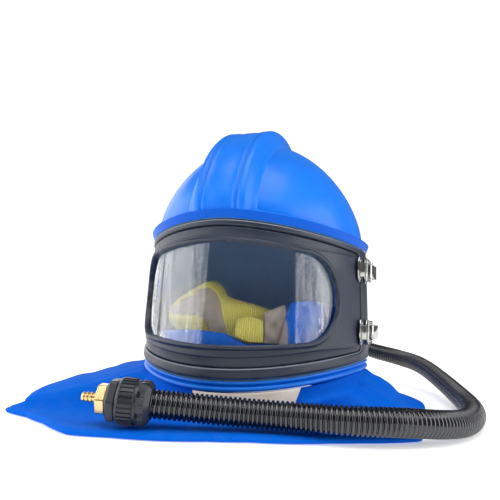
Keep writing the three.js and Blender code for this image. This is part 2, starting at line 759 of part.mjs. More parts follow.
function makeLatch(name, height) {
  const place = latchPlace(height);
  const ledge = plateGap + plateThickness;
  const earCentre = leverWidth / 2 + earGap + earThickness / 2;
  const legCentre = leverWidth / 2 + 2 * earGap + earThickness + bailWire / 2;
  const pivot = [leverPivotAlong, leverPivotOut];
  const swing = radians(-8);
  const bailPivot = [pivot[0] + bailArm * Math.cos(swing), pivot[1] + bailArm * Math.sin(swing)];
  const keeperFoot = -wallSag(keeperPlateCentre) + plateGap;
  const tabAlong = keeperPlateCentre + 0.2 * keeperPlateLength;
  const tabTop = keeperFoot + plateThickness + keeperTabHeight;
  const crossOut = tabTop + bailClearance + bailWire / 2;
  const crossAlong = tabAlong - keeperTabThickness / 2 - bailWire / 2;
  const placed = (geometry) => geometry.applyMatrix4(place);

  const ear = (side) => {
    const centre = side * earCentre;
    return [
      box(pivot[0] - earRadius, pivot[0] + earRadius, plateGap + 0.5, pivot[1], earThickness, centre),
      rod(earRadius, earThickness, pivot[0], pivot[1], centre),
    ];
  };
  const base = joined([
    ...almondPlate(basePlateLength, pivot[0], plateGap),
    ...ear(-1),
    ...ear(1),
    rod(leverPinRadius, 2 * earCentre, pivot[0], pivot[1]),
  ]);
  addPiece(`latch_base_${name}`, placed(base), 'chrome');

  const keeper = joined([
    ...almondPlate(keeperPlateLength, keeperPlateCentre, keeperFoot),
    slab([
      [tabAlong - keeperTabThickness, keeperFoot + 0.5],
      [tabAlong + keeperTabThickness, keeperFoot + 0.5],
      [tabAlong + keeperTabThickness / 2, tabTop],
      [tabAlong - keeperTabThickness / 2, tabTop],
    ], keeperTabWidth),
  ]);
  addPiece(`keeper_${name}`, placed(keeper), 'chrome');

  const top = pivot[1] + leverBoss;
  const under = top - leverThickness;
  const tip = pivot[0] + leverLength;
  const leverShape = [
    [pivot[0] - 0.7 * leverBoss, pivot[1] - 0.7 * leverBoss],
    [pivot[0] + 0.7 * leverBoss, pivot[1] - 0.7 * leverBoss],
    [bailPivot[0] - 0.4 * bailArm, under - 0.2 * leverThickness],
    [bailPivot[0] - 0.25 * bailArm, bailPivot[1] - bailWire],
    [bailPivot[0] + 0.25 * bailArm, bailPivot[1] - bailWire],
    [bailPivot[0] + 0.4 * bailArm, under],
    [tip - 3, under],
    [tip, under - 2],
    [tip + 1.6, under - 1.2],
    [tip - 1.5, top],
    [pivot[0] - 0.2 * leverBoss, top],
    [pivot[0] - leverBoss, pivot[1] + 0.5 * leverBoss],
    [pivot[0] - leverBoss, pivot[1] - 0.2 * leverBoss],
  ];
  const leverBlank = toManifold(slab(leverShape, leverWidth, 0, [[...pivot, leverPinRadius + leverBore]]));
  const sockets = [-1, 1].map((side) => {
    const depth = bailInset + leverBore;
    return toManifold(rod(bailWire / 2 + leverBore, 2 * depth, ...bailPivot, side * (leverWidth / 2)));
  });
  const lever = sockets.reduce((whole, socket) => whole.subtract(socket), leverBlank);
  addPiece(`latch_lever_${name}`, placed(fromManifold(lever)), 'chrome');

  const legAngle = Math.atan2(crossOut - bailPivot[1], crossAlong - bailPivot[0]);
  const legLength = Math.hypot(crossOut - bailPivot[1], crossAlong - bailPivot[0]);
  const leg = (side) => {
    const wire = new THREE.CylinderGeometry(bailWire / 2, bailWire / 2, legLength, 8);
    wire.rotateZ(legAngle - Math.PI / 2);
    const middle = [(crossAlong + bailPivot[0]) / 2, (crossOut + bailPivot[1]) / 2];
    wire.translate(middle[0], middle[1], side * legCentre);
    return wire;
  };
  const stub = (side) => {
    const near = leverWidth / 2 - bailInset;
    const far = legCentre + 0.3 * bailWire;
    return rod(bailWire / 2, far - near, ...bailPivot, (side * (far + near)) / 2);
  };
  const bail = joined([
    leg(-1),
    leg(1),
    stub(-1),
    stub(1),
    rod(bailWire / 2, 2 * legCentre + 0.6 * bailWire, crossAlong, crossOut),
  ]);
  addPiece(`latch_bail_${name}`, placed(bail), 'chrome');
}

// Cloth

// The cape's plan: angle from the front in degrees, reach of the edge, place and height of the fold between
// neck and edge. Reach is a share of capeReach, place a share of the way out, height a share of the rim's.
const capeFolds = [
  { angle: -180, reach: 1.0135, place: 0.35, height: 0.62 },
  { angle: -158, reach: 0.98, place: 0.4, height: 0.7 },
  { angle: -135, reach: 0.98, place: 0.35, height: 0.6 },
  { angle: -112, reach: 0.948, place: 0.45, height: 0.68 },
  { angle: -100, reach: 0.9, place: 0.6, height: 0.64 },
  { angle: -90, reach: 0.887, place: 0.8, height: 0.64 },
  { angle: -74, reach: 0.922, place: 0.85, height: 0.62 },
  { angle: -65, reach: 0.978, place: 0.85, height: 0.58 },
  { angle: -56, reach: 1.061, place: 0.8, height: 0.4 },
  { angle: -48, reach: 1.19, place: 0.45, height: 0.34 },
  { angle: -42, reach: 1.15, place: 0.2, height: 0.3 },
  { angle: -34, reach: 1.118, place: 0.04, height: 0.2 },
  { angle: -22.3, reach: 1.113, place: 0.04, height: 0.2 },
  { angle: -14.4, reach: 1.026, place: 0.04, height: 0.2 },
  { angle: -5, reach: 0.952, place: 0.04, height: 0.2 },
  { angle: 6, reach: 0.877, place: 0.04, height: 0.2 },
  { angle: 16.5, reach: 0.843, place: 0.04, height: 0.2 },
  { angle: 28.7, reach: 0.852, place: 0.04, height: 0.2 },
  { angle: 38, reach: 0.856, place: 0.04, height: 0.2 },
  { angle: 46, reach: 0.88, place: 0.05, height: 0.2 },
  { angle: 61, reach: 0.953, place: 0.12, height: 0.3 },
  { angle: 66, reach: 0.904, place: 0.25, height: 0.45 },
  { angle: 80, reach: 0.839, place: 0.5, height: 0.5 },
  { angle: 90, reach: 0.826, place: 0.57, height: 0.47 },
  { angle: 100, reach: 0.846, place: 0.55, height: 0.5 },
  { angle: 117, reach: 1.0051, place: 0.4, height: 0.6 },
  { angle: 135, reach: 0.99, place: 0.35, height: 0.6 },
  { angle: 158, reach: 0.99, place: 0.4, height: 0.7 },
  { angle: 180, reach: 1.0135, place: 0.35, height: 0.62 },
];

// The values of a table's columns at an angle in degrees, between its rows
function tableRow(table, degrees) {
  const next = table.findIndex((row) => row.angle >= degrees - 1e-6);
  const after = table[Math.max(1, next)];
  const before = table[Math.max(1, next) - 1];
  const share = (degrees - before.angle) / (after.angle - before.angle);
  const mixed = {};
  Object.keys(before).forEach((key) => {
    mixed[key] = before[key] + (after[key] - before[key]) * share;
  });
  return mixed;
}

function makeCape() {
  const steps = 40;
  const layer = clothThickness;
  const rings = [];
  for (let step = 0; step < steps; step += 1) {
    const degrees = -180 + (360 * step) / steps;
    const angle = radians(degrees);
    const row = tableRow(capeFolds, degrees);
    const neckHeight = lowerLine(rimHeight, angle) - clothGap;
    const neck = wallPoint(angle, neckHeight, -neckInset);
    const outward = new THREE.Vector3(Math.sin(angle), -Math.cos(angle), 0);
    const edge = capeReach * row.reach;
    const neckRadius = Math.hypot(neck.x, neck.y);
    const start = neckRadius + layer;
    const fold = start + (edge - start) * row.place;
    const foldHeight = Math.max(capeHem, neckHeight * row.height);
    const at = (radius, height) => outward.clone().multiplyScalar(radius).setZ(height);
    rings.push([
      at(start, neckHeight),
      at(fold, foldHeight),
      at(fold + (edge - fold) * 0.5, capeHem + (foldHeight - capeHem) * 0.3),
      at(edge - 0.4 * capeHem, capeHem),
      at(edge, capeHem * 0.6),
      at(edge, capeHem * 0.25),
      at(edge - 0.4 * capeHem, 0),
      at(edge - capeFoldBack * 0.6, 0),
      at(edge - capeFoldBack * 0.6, layer),
      at(edge - 0.6 * capeHem, layer),
      at(edge - 0.6 * capeHem, capeHem - layer),
      at(fold + (edge - fold) * 0.5, capeHem - layer + (foldHeight - capeHem) * 0.3),
      at(fold - layer * 0.7, foldHeight - layer),
      at(start - layer, neckHeight),
    ]);
  }
  addPiece('cape', ringSolid(rings, true), 'clothBlue');
}

// A cloth ring between two levels inside the helmet: table of shares of its rise and of the half axes
function insideRing(steps, rows, thickness) {
  const rings = [];
  for (let step = 0; step < steps; step += 1) {
    const angle = -Math.PI + (2 * Math.PI * step) / steps;
    const outer = rows(angle);
    const inner = outer.map((row) => ({
      reach: row.reach - thickness * row.side,
      height: row.height - thickness * row.down,
    }));
    const place = (row) => wallPoint(angle, row.height, -row.reach);
    rings.push([...outer.map(place), ...inner.reverse().map(place)]);
  }
  return ringSolid(rings, true);
}

// How the cloth inside is bunched: angle from the front in degrees, the inner collar's push as a share of
// bunchRise, the knit's top edge as a share of knitRise and its lean as a share of knitLean
const collarBunches = [
  { angle: -180, cloth: 0, knit: 0.12, lean: 0 },
  { angle: -135, cloth: 0.03, knit: 0.16, lean: 0 },
  { angle: -100, cloth: 0.12, knit: 0.2, lean: 0 },
  { angle: -78, cloth: 0.2, knit: 0.3, lean: 0.5 },
  { angle: -64, cloth: 0.23, knit: 0.5, lean: 1 },
  { angle: -50, cloth: 0.26, knit: 0.66, lean: 1 },
  { angle: -36, cloth: 0.29, knit: 0.8, lean: 0.7 },
  { angle: -24, cloth: 0.31, knit: 0.97, lean: 0.25 },
  { angle: -17, cloth: 0.33, knit: 1, lean: 0 },
  { angle: -11, cloth: 0.34, knit: 0.92, lean: 0 },
  { angle: -5, cloth: 0.34, knit: 0.75, lean: 0 },
  { angle: 2, cloth: 0.32, knit: 0.7, lean: 0 },
  { angle: 9, cloth: 0.2, knit: 0.67, lean: 0 },
  { angle: 17, cloth: 0.08, knit: 0.63, lean: 0 },
  { angle: 27, cloth: 0.08, knit: 0.57, lean: 0 },
  { angle: 33, cloth: 0.55, knit: 0.5, lean: 0 },
  { angle: 38, cloth: 0.92, knit: 0.44, lean: 0 },
  { angle: 46, cloth: 1, knit: 0.36, lean: 0 },
  { angle: 60, cloth: 1, knit: 0.3, lean: 0 },
  { angle: 70, cloth: 0.9, knit: 0.26, lean: 0 },
  { angle: 80, cloth: 0.62, knit: 0.24, lean: 0 },
  { angle: 90, cloth: 0.3, knit: 0.22, lean: 0 },
  { angle: 104, cloth: 0.06, knit: 0.2, lean: 0 },
  { angle: 135, cloth: 0, knit: 0.16, lean: 0 },
  { angle: 180, cloth: 0, knit: 0.12, lean: 0 },
];

// Blue cloth that runs from the rim inwards and up to the knit collar, pushed up in a fold on the right
function makeInnerCollar() {
  const rows = (angle) => {
    const low = lowerLine(rimHeight, angle) + clothGap;
    const push = bunchRise * tableRow(collarBunches, THREE.MathUtils.radToDeg(angle)).cloth;
    return [
      { reach: bodyInset + shellWall + clothGap, height: low, side: -1, down: 0 },
      { reach: bodyInset + shellWall + 6, height: innerCollarTop - 16 + 0.6 * push, side: -0.8, down: 0.5 },
      { reach: bodyInset + shellWall + 13, height: innerCollarTop - 4 + push, side: -0.2, down: 1 },
      { reach: bodyInset + shellWall + 20, height: innerCollarTop - 1 + 0.6 * push, side: 0.5, down: 1 },
      { reach: bodyInset + shellWall + 24, height: innerCollarTop, side: 0.2, down: 1 },
      { reach: 0.38 * halfWidth, height: innerCollarTop, side: 0, down: 1 },
    ];
  };
  addPiece('inner_collar', insideRing(clothAround, rows, clothThickness), 'clothBlue');
}

// Yellow knit collar: a bunched tube that stands up in a mound at the front left
function makeKnitCollar() {
  const foot = innerCollarTop + clothGap;
  const rows = (angle) => {
    const bunch = tableRow(collarBunches, THREE.MathUtils.radToDeg(angle));
    const peak = foot + knitRise * bunch.knit;
    const lean = knitLean * bunch.lean;
    return [
      { reach: 0.33 * halfWidth, height: foot, side: -1, down: 0 },
      { reach: 0.3 * halfWidth - 0.8 * lean, height: foot + 0.6 * (peak - foot), side: -1, down: 0 },
      { reach: 0.36 * halfWidth - lean, height: peak - knitThickness * 0.5, side: -0.7, down: 0.7 },
      { reach: 0.44 * halfWidth - lean, height: peak, side: 0, down: 1 },
      { reach: 0.5 * halfWidth - 0.6 * lean, height: foot + 0.7 * (peak - foot), side: 1, down: 0 },
    ];
  };
  addPiece('knit_collar', insideRing(clothAround, rows, knitThickness), 'knitYellow');
}

// Beige lining: a strip that hangs out under the collar in front
function makeBib() {
  const steps = 16;
  const rings = [];
  const half = radians(bibWidthAngle);
  for (let step = 0; step <= steps; step += 1) {
    const angle = radians(bibCentreAngle) + half * ((2 * step) / steps - 1);
    const top = lowerLine(rimHeight, angle) - clothGap;
    const foot = capeHem + clothGap + 1;
    const reach = -neckInset + 2 * clothThickness + 2.5 * clothGap;
    rings.push([
      wallPoint(angle, top, reach),
      wallPoint(angle, foot, reach + 1),
      wallPoint(angle, foot, reach + 1 + clothThickness),
      wallPoint(angle, top, reach + clothThickness),
    ]);
  }
  addPiece('bib_lining', ringSolid(rings), 'clothBeige');
}

// Hose

function makeHose() {
  const route = new THREE.CatmullRomCurve3(hoseRoute.map((point) => new THREE.Vector3(...point)), false, 'centripetal');
  const shape = new THREE.Shape();
  for (let side = 0; side < hoseSides; side += 1) {
    const turn = (2 * Math.PI * (side + 0.5)) / hoseSides;
    const point = [(hoseDiameter / 2) * Math.cos(turn), (hoseDiameter / 2) * Math.sin(turn)];
    if (side === 0) shape.moveTo(...point);
    else shape.lineTo(...point);
  }
  const steps = Math.round(route.getLength() / (1.2 * hoseDiameter));
  const tube = new THREE.ExtrudeGeometry(shape, { steps, extrudePath: route, bevelEnabled: false });
  addPiece('breathing_hose', tube, 'rubberBlack');

  // The fittings follow each other along the hose's last direction
  const end = route.getPoint(1);
  const along = route.getTangent(1);
  const lineUp = (geometry, from, length) => {
    geometry.translate(0, from + length / 2, 0);
    geometry.applyQuaternion(new THREE.Quaternion().setFromUnitVectors(new THREE.Vector3(0, 1, 0), along));
    geometry.translate(end.x, end.y, end.z);
    return geometry;
  };
  const nutStart = fittingGap;
  const nutRadius = nutDiameter / 2;
  const nutProfile = [
    [0, -0.5], [0.82, -0.5], [1, -0.36], [1, -0.16], [0.93, -0.12], [0.93, -0.04],
    [1, 0], [1, 0.4], [0.9, 0.5], [0, 0.5],
  ].map(([radius, level]) => new THREE.Vector2(radius * nutRadius, level * nutLength));
  addPiece('hose_nut', lineUp(new THREE.LatheGeometry(nutProfile, 14), nutStart, nutLength), 'plasticGrey');

  const hexRadius = (flats) => flats / 2 / Math.cos(Math.PI / 6);
  const glandStart = nutStart + nutLength + fittingGap;
  const gland = new THREE.CylinderGeometry(hexRadius(glandAcrossFlats), hexRadius(glandAcrossFlats), glandLength, 6);
  addPiece('hose_gland', lineUp(gland, glandStart, glandLength), 'plasticGrey');

  const bushingStart = glandStart + glandLength + fittingGap;
  const bushing = new THREE.CylinderGeometry(
    hexRadius(bushingAcrossFlats),
    hexRadius(bushingAcrossFlats),
    bushingLength,
    6,
  );
  addPiece('hose_bushing', lineUp(bushing, bushingStart, bushingLength), 'brass');

  const barbStart = bushingStart + bushingLength + fittingGap;
  const barbProfile = [
    [0, -0.5], [0.9, -0.5], [0.8, -0.2], [1, -0.15], [0.8, 0.15], [1, 0.2], [0.8, 0.5], [0, 0.5],
  ].map(([radius, level]) => new THREE.Vector2((radius * barbDiameter) / 2, level * barbLength));
  addPiece('hose_barb', lineUp(new THREE.LatheGeometry(barbProfile, 14), barbStart, barbLength), 'brass');
}

// The spigot at the back of the shell that the hose comes out of
function makeInlet() {
  const wall = wallPoint(Math.PI, inletHeight, -rearInset);
  const profile = [
    [0, 0],
    [inletFlange / 2, 0],
    [inletFlange / 2, inletFlangeThickness],
    [inletDiameter / 2, inletFlangeThickness + 1],
    [inletDiameter / 2, inletFlangeThickness + inletLength],
    [0, inletFlangeThickness + inletLength],
  ].map(([radius, level]) => new THREE.Vector2(radius, level));
  const spigot = new THREE.LatheGeometry(profile, 16);
  spigot.translate(wall.x, wall.y + inletGap, inletHeight);
  addPiece('hose_inlet', spigot, 'plasticGrey');
}

addPiece('helmet_shell', makeShell(), 'shellBlue');
addPiece('surround_frame', makeSurround(), 'frameGrey');
addPiece('window_frame', makeDoor(), 'frameGrey');
addPiece(
  'window_lens',
  windowPanel(lensOverlap, -lipBack - lensGap, -lipBack - lensGap - lensThickness),
  'lens',
);
makeHinge();
makeLatch('upper', latchUpperHeight);
makeLatch('lower', latchLowerHeight);
makeCape();
makeBib();
makeInnerCollar();
makeKnitCollar();
makeInlet();
makeHose();

export default hood;
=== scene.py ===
import math

import bmesh
import bpy
from mathutils import Matrix, Vector, noise


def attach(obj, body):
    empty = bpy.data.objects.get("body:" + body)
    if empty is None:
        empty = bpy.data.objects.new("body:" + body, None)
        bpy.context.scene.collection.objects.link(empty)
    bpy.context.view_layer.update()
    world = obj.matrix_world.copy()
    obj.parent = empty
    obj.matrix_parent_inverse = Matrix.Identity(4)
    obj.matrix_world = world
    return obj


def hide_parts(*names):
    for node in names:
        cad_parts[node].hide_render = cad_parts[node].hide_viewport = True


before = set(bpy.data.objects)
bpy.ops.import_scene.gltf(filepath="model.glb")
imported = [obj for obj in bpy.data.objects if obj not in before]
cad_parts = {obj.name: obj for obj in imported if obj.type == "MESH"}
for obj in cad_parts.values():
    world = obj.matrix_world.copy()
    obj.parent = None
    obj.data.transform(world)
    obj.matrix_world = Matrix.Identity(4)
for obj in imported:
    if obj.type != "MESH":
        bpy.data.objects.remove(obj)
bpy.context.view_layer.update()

# All lengths are metres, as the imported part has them. Angles are counted from the front towards +X.
HALF_WIDTH = 0.130
HALF_DEPTH = 0.149
PLAN_LEVEL = 0.100
TAPER = 0.26  # share that the plan shrinks in a metre of height
RIM = 0.034
COLLAR = 0.011
FRAME_BOTTOM = 0.045
FRAME_TOP = 0.200
BRIM = 0.012
BRIM_TOP = 0.212
DOME_TOP = 0.316
LOWER_RISE = 0.017
UPPER_DROP = 0.016
BODY_INSET = 0.007
REAR_INSET = 0.001
SHELL_WALL = 0.003
DOME_INSET = 0.005
DOME_ROUNDNESS = 1.58
WINDOW_ANGLE = math.radians(39.5)
WINDOW_TOP = 0.1765
WINDOW_BOTTOM = 0.077
WINDOW_RISE = 0.011
DOOR_TOP = 0.1925
DOOR_BOTTOM = 0.056
SEAM = 0.0006
LENS_FACE = -0.00305
LENS_THICKNESS = 0.002
LENS_OVERLAP = 0.004
CLOTH = 0.0016
CAPE_REACH = 0.230
HOSE_RADIUS = 0.0125
RIB_PITCH = 0.0042


# Camera and cord route

def place_camera():
    """The photograph's angle: in front, a little to the hood's left side and looking slightly up."""
    yaw, pitch, roll = math.radians(19.3), math.radians(7.2), math.radians(-2.2)
    right = Vector((math.cos(yaw), math.sin(yaw), 0))
    ahead = Vector((-math.sin(yaw) * math.cos(pitch), math.cos(yaw) * math.cos(pitch), math.sin(pitch)))
    up = right.cross(ahead)
    across = right * math.cos(roll) - up * math.sin(roll)
    upright = right * math.sin(roll) + up * math.cos(roll)
    camera = bpy.data.objects.new("camera", bpy.data.cameras.new("camera"))
    camera.data.lens = 36.0
    camera.data.sensor_width = 36.0
    camera.data.clip_start = 0.02
    turn = Matrix((across, upright, -ahead)).transposed().to_4x4()
    camera.matrix_world = Matrix.Translation((0.1915, -0.5909, 0.108)) @ turn
    bpy.context.scene.collection.objects.link(camera)
    bpy.context.scene.camera = camera


HOSE_ROUTE = [
    (0, 0.1674, 0.105), (0, 0.19, 0.104), (0.006, 0.224, 0.096), (0.029, 0.261, 0.082),
    (0.066, 0.284, 0.0665), (0.109, 0.29, 0.0535), (0.15, 0.277, 0.046), (0.177, 0.254, 0.041),
    (0.195, 0.223, 0.035), (0.2135, 0.176, 0.0255), (0.227, 0.13, 0.018), (0.2365, 0.08, 0.0134),
    (0.24, 0.03, 0.0128), (0.238, -0.018, 0.0128), (0.2275, -0.062, 0.0132), (0.2065, -0.101, 0.0168),
    (0.174, -0.131, 0.0206), (0.133, -0.149, 0.0214), (0.092, -0.156, 0.0214), (0.053, -0.1635, 0.0216),
    (0.024, -0.1745, 0.0232), (-0.004, -0.186, 0.0254), (-0.031, -0.1955, 0.0272),
]


def hose_line(points, steps=24):
    """A smooth curve through the route's points, the same centripetal spline as in the part's source."""
    knots = [Vector(point) for point in points]
    knots = [2 * knots[0] - knots[1], *knots, 2 * knots[-1] - knots[-2]]
    line = []
    for before, start, end, after in zip(knots, knots[1:], knots[2:], knots[3:]):
        gaps = [max((b - a).length ** 0.5, 1e-4) for a, b in ((before, start), (start, end), (end, after))]
        leave = (start - before) / gaps[0] - (end - before) / (gaps[0] + gaps[1]) + (end - start) / gaps[1]
        arrive = (end - start) / gaps[1] - (after - start) / (gaps[1] + gaps[2]) + (after - end) / gaps[2]
        leave, arrive = leave * gaps[1], arrive * gaps[1]
        for step in range(steps):
            t = step / steps
            line.append(
                start + leave * t
                + (-3 * start + 3 * end - 2 * leave - arrive) * t ** 2
                + (2 * start - 2 * end + leave + arrive) * t ** 3
            )
    return [*line, knots[-2]]


def spaced(line, spacing):
    """Points at even distances along a line of points."""
    lengths = [0.0]
    for before, after in zip(line, line[1:]):
        lengths.append(lengths[-1] + (after - before).length)
    count = max(2, round(lengths[-1] / spacing))
    points, index = [], 0
    for step in range(count + 1):
        target = lengths[-1] * step / count
        while index < len(lengths) - 2 and lengths[index + 1] < target:
            index += 1
        share = (target - lengths[index]) / (lengths[index + 1] - lengths[index])
        points.append(line[index].lerp(line[index + 1], share))
    return points, lengths[-1]


# Shapes of the helmet's wall and lines

def wall_point(angle, height, out):
    shrink = 1 - TAPER * (height - PLAN_LEVEL)
    return Vector((
        (HALF_WIDTH + out) * shrink * math.sin(angle),
        -(HALF_DEPTH + out) * shrink * math.cos(angle),
        height,
    ))


def wall_rate(angle):
    return math.hypot(HALF_WIDTH * math.cos(angle), HALF_DEPTH * math.sin(angle))


def lower_line(level, angle, rise=LOWER_RISE):
    return level + rise * math.sin(angle) ** 2


def upper_line(level, angle):
    turn = abs(math.sin(angle)) ** 1.6 if abs(angle) < math.pi / 2 else 1
    return level - UPPER_DROP * turn


def body_offset(angle):
    past = (abs(math.degrees(angle)) - 100) / 12
    return -BODY_INSET + (BODY_INSET - REAR_INSET) * min(1, max(0, past))


def dome_point(angle, share, inset=0.0):
    base = upper_line(BRIM_TOP, angle)
    level = base + (DOME_TOP - inset - base) * share
    narrow = math.sqrt(1 - share ** DOME_ROUNDNESS)
    foot = wall_point(angle, base, -DOME_INSET - inset)
    return Vector((foot.x * narrow, foot.y * narrow, level))


def dome_share(step, steps):
    return math.sin(math.pi / 2 * step / steps) ** (2 / DOME_ROUNDNESS)


def window_end(grow):
    top = upper_line(WINDOW_TOP, WINDOW_ANGLE) + grow
    bottom = lower_line(WINDOW_BOTTOM, WINDOW_ANGLE, WINDOW_RISE) - grow
    return (top - bottom) / 2, (top + bottom) / 2


def smooth_step(value, low, high):
    share = min(1, max(0, (value - low) / (high - low)))
    return share * share * (3 - 2 * share)


# Meshes

def lattice(rings, around=True, along=False):
    """Quads between rings of equal length. Around closes each ring, along joins the last to the first."""
    count = len(rings[0])
    faces = []
    for ring in range(len(rings) if along else len(rings) - 1):
        after = (ring + 1) % len(rings)
        for side in range(count if around else count - 1):
            turn = (side + 1) % count
            here, there = ring * count, after * count
            faces.append((here + side, here + turn, there + turn, there + side))
    return [point for ring in rings for point in ring], faces


def capped(rings):
    points, faces = lattice(rings)
    count = len(rings[0])
    faces.append(tuple(range(count)))
    faces.append(tuple(range(len(points) - count, len(points))))
    return points, faces


def make_piece(name, points, faces, finish, body="helmet", sharp=40, uvs=None):
    mesh = bpy.data.meshes.new(name)
    mesh.from_pydata([tuple(point) for point in points], [], faces)
    if uvs:
        layer = mesh.uv_layers.new(name="UVMap")
        for loop in mesh.loops:
            layer.data[loop.index].uv = uvs[loop.vertex_index]
    work = bmesh.new()
    work.from_mesh(mesh)
    bmesh.ops.recalc_face_normals(work, faces=work.faces)
    work.to_mesh(mesh)
    work.free()
    return finish_piece(name, mesh, finish, body, sharp)


def finish_piece(name, mesh, finish, body, sharp=40):
    mesh.shade_smooth()
    if sharp:
        mesh.set_sharp_from_angle(angle=math.radians(sharp))
    piece = bpy.data.objects.new(name, mesh)
    bpy.context.scene.collection.objects.link(piece)
    mesh.materials.clear()
    mesh.materials.append(finish)
    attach(piece, body)
    return piece


def settle(piece):
    """Turns a piece's modifiers into its mesh."""
    graph = bpy.context.evaluated_depsgraph_get()
    mesh = bpy.data.meshes.new_from_object(piece.evaluated_get(graph))
    piece.modifiers.clear()
    piece.data = mesh


def thicken(piece, thickness):
    solid = piece.modifiers.new("thickness", "SOLIDIFY")
    solid.thickness = thickness
    solid.offset = 0.0
    solid.use_even_offset = False


# Shader node groups and finishes

class Nodes:
    """Short calls for placing and joining nodes in a tree."""

    def __init__(self, tree):
        self.tree = tree

    def add(self, kind, values=(), **settings):
        node = self.tree.nodes.new(kind)
        for key, value in settings.items():
            setattr(node, key, value)
        for socket, value in dict(values).items():
            self.put(node.inputs[socket], value)
        return node

    def put(self, socket, value):
        if isinstance(value, bpy.types.NodeSocket):
            self.tree.links.new(value, socket)
        elif socket.type == "RGBA":
            socket.default_value = (*value, 1.0)
        else:
            socket.default_value = value

    def math(self, operation, first, second=0.5, clamp=False):
        values = {0: first, 1: second}
        return self.add("ShaderNodeMath", values, operation=operation, use_clamp=clamp).outputs[0]

    def times(self, first, second):
        return self.math("MULTIPLY", first, second)

    def over(self, value):
        return self.math("DIVIDE", 1.0, value)

    def ramp(self, value, low, high, to_low=0.0, to_high=1.0):
        values = {"Value": value, "From Min": low, "From Max": high, "To Min": to_low, "To Max": to_high}
        return self.add("ShaderNodeMapRange", values).outputs["Result"]

    def mix(self, share, first, second):
        return self.add("ShaderNodeMix", {0: share, 6: first, 7: second}, data_type="RGBA").outputs[2]

    def read(self, kind, output):
        return self.add("ShaderNode" + kind).outputs[output]

    def noise(self, place, scale, detail, roughness=0.5):
        values = {"Vector": place, "Scale": scale, "Detail": detail, "Roughness": roughness}
        return self.add("ShaderNodeTexNoise", values).outputs["Fac"]

    def relief(self, height, distance, under=None):
        values = {"Height": height, "Distance": distance, "Strength": 1.0}
        if under is not None:
            values["Normal"] = under
        return self.add("ShaderNodeBump", values).outputs["Normal"]


GROUPS = {}


def new_group(name, inputs, outputs):
    group = bpy.data.node_groups.new(name, "ShaderNodeTree")
    for label, value in inputs.items():
        socket = group.interface.new_socket(label, in_out="INPUT", socket_type="NodeSocketFloat")
        socket.default_value = value
    for label in outputs:
        group.interface.new_socket(label, in_out="OUTPUT", socket_type="NodeSocketFloat")
    GROUPS[name] = group
    nodes = Nodes(group)
    return nodes, nodes.add("NodeGroupInput").outputs, nodes.add("NodeGroupOutput").inputs


def grain_group():
    """Fine moulded or cast grain: a height, and a slow mask for uneven gloss."""
    nodes, given, out = new_group("grain", {"Size": 0.0006, "Unevenness": 0.03}, ["Height", "Mask"])
    place = nodes.read("TexCoord", "Object")
    nodes.put(out["Height"], nodes.noise(place, nodes.over(given["Size"]), 2.0))
    slow = nodes.noise(place, nodes.over(given["Unevenness"]), 3.0)
    nodes.put(out["Mask"], nodes.ramp(slow, 0.35, 0.65))


def edge_group():
    """Worn edges that also carry a painted highlight: a mask along outer corners, broken up by noise."""
    nodes, given, out = new_group("worn_and_highlit_edges", {"Start": 0.52, "Amount": 0.6}, ["Mask"])
    corner = nodes.read("NewGeometry", "Pointiness")
    edge = nodes.ramp(corner, given["Start"], nodes.math("ADD", given["Start"], 0.06))
    broken = nodes.ramp(nodes.noise(nodes.read("TexCoord", "Object"), 140.0, 4.0), 0.42, 0.62)
    nodes.put(out["Mask"], nodes.times(nodes.times(edge, broken), given["Amount"]))


def dust_group():
    """Thin dust: more on faces that look up, in soft patches."""
    nodes, given, out = new_group("dust", {"Amount": 0.2, "Patch": 0.02}, ["Mask"])
    upward = nodes.add("ShaderNodeSeparateXYZ", {0: nodes.read("NewGeometry", "Normal")}).outputs["Z"]
    patch = nodes.noise(nodes.read("TexCoord", "Object"), nodes.over(given["Patch"]), 5.0, 0.65)
    thick = nodes.times(nodes.ramp(upward, -0.3, 1.0, 0.15, 1.0), nodes.ramp(patch, 0.45, 0.75))
    nodes.put(out["Mask"], nodes.times(thick, given["Amount"]))


def weave_group():
    """Plain weave on a cloth's measured layout: thread height, and a mask of the threads that lie on top."""
    nodes, given, out = new_group("weave", {"Pitch": 0.0006, "Uneven": 0.3}, ["Height", "Thread"])
    layout = nodes.read("TexCoord", "UV")
    split = nodes.add("ShaderNodeSeparateXYZ", {0: layout})
    turns = nodes.math("DIVIDE", math.pi, given["Pitch"])
    waves = []
    for axis in ("X", "Y"):
        waves.append(nodes.math("ABSOLUTE", nodes.math("SINE", nodes.times(split.outputs[axis], turns))))
    slub = nodes.times(nodes.noise(layout, 900.0, 2.0), given["Uneven"])
    nodes.put(out["Height"], nodes.math("ADD", nodes.math("MAXIMUM", *waves), slub))
    nodes.put(out["Thread"], nodes.ramp(nodes.math("SUBTRACT", *waves), -1.0, 1.0))


def scratch_group():
    """Hairline scratches from handling, as a mask."""
    nodes, given, out = new_group("scratches", {"Amount": 0.3, "Length": 0.03}, ["Mask"])
    place = nodes.read("TexCoord", "Object")
    values = {"Vector": place, "Rotation": (0.4, 0.7, 0.3), "Scale": (1, 14, 22)}
    stretch = nodes.add("ShaderNodeMapping", values)
    line = nodes.noise(stretch.outputs[0], nodes.over(given["Length"]), 3.0, 0.6)
    off = nodes.math("ABSOLUTE", nodes.math("SUBTRACT", line, 0.5))
    nodes.put(out["Mask"], nodes.times(nodes.ramp(off, 0.0, 0.012, 1.0, 0.0), given["Amount"]))


for make_group in (grain_group, edge_group, dust_group, weave_group, scratch_group):
    make_group()


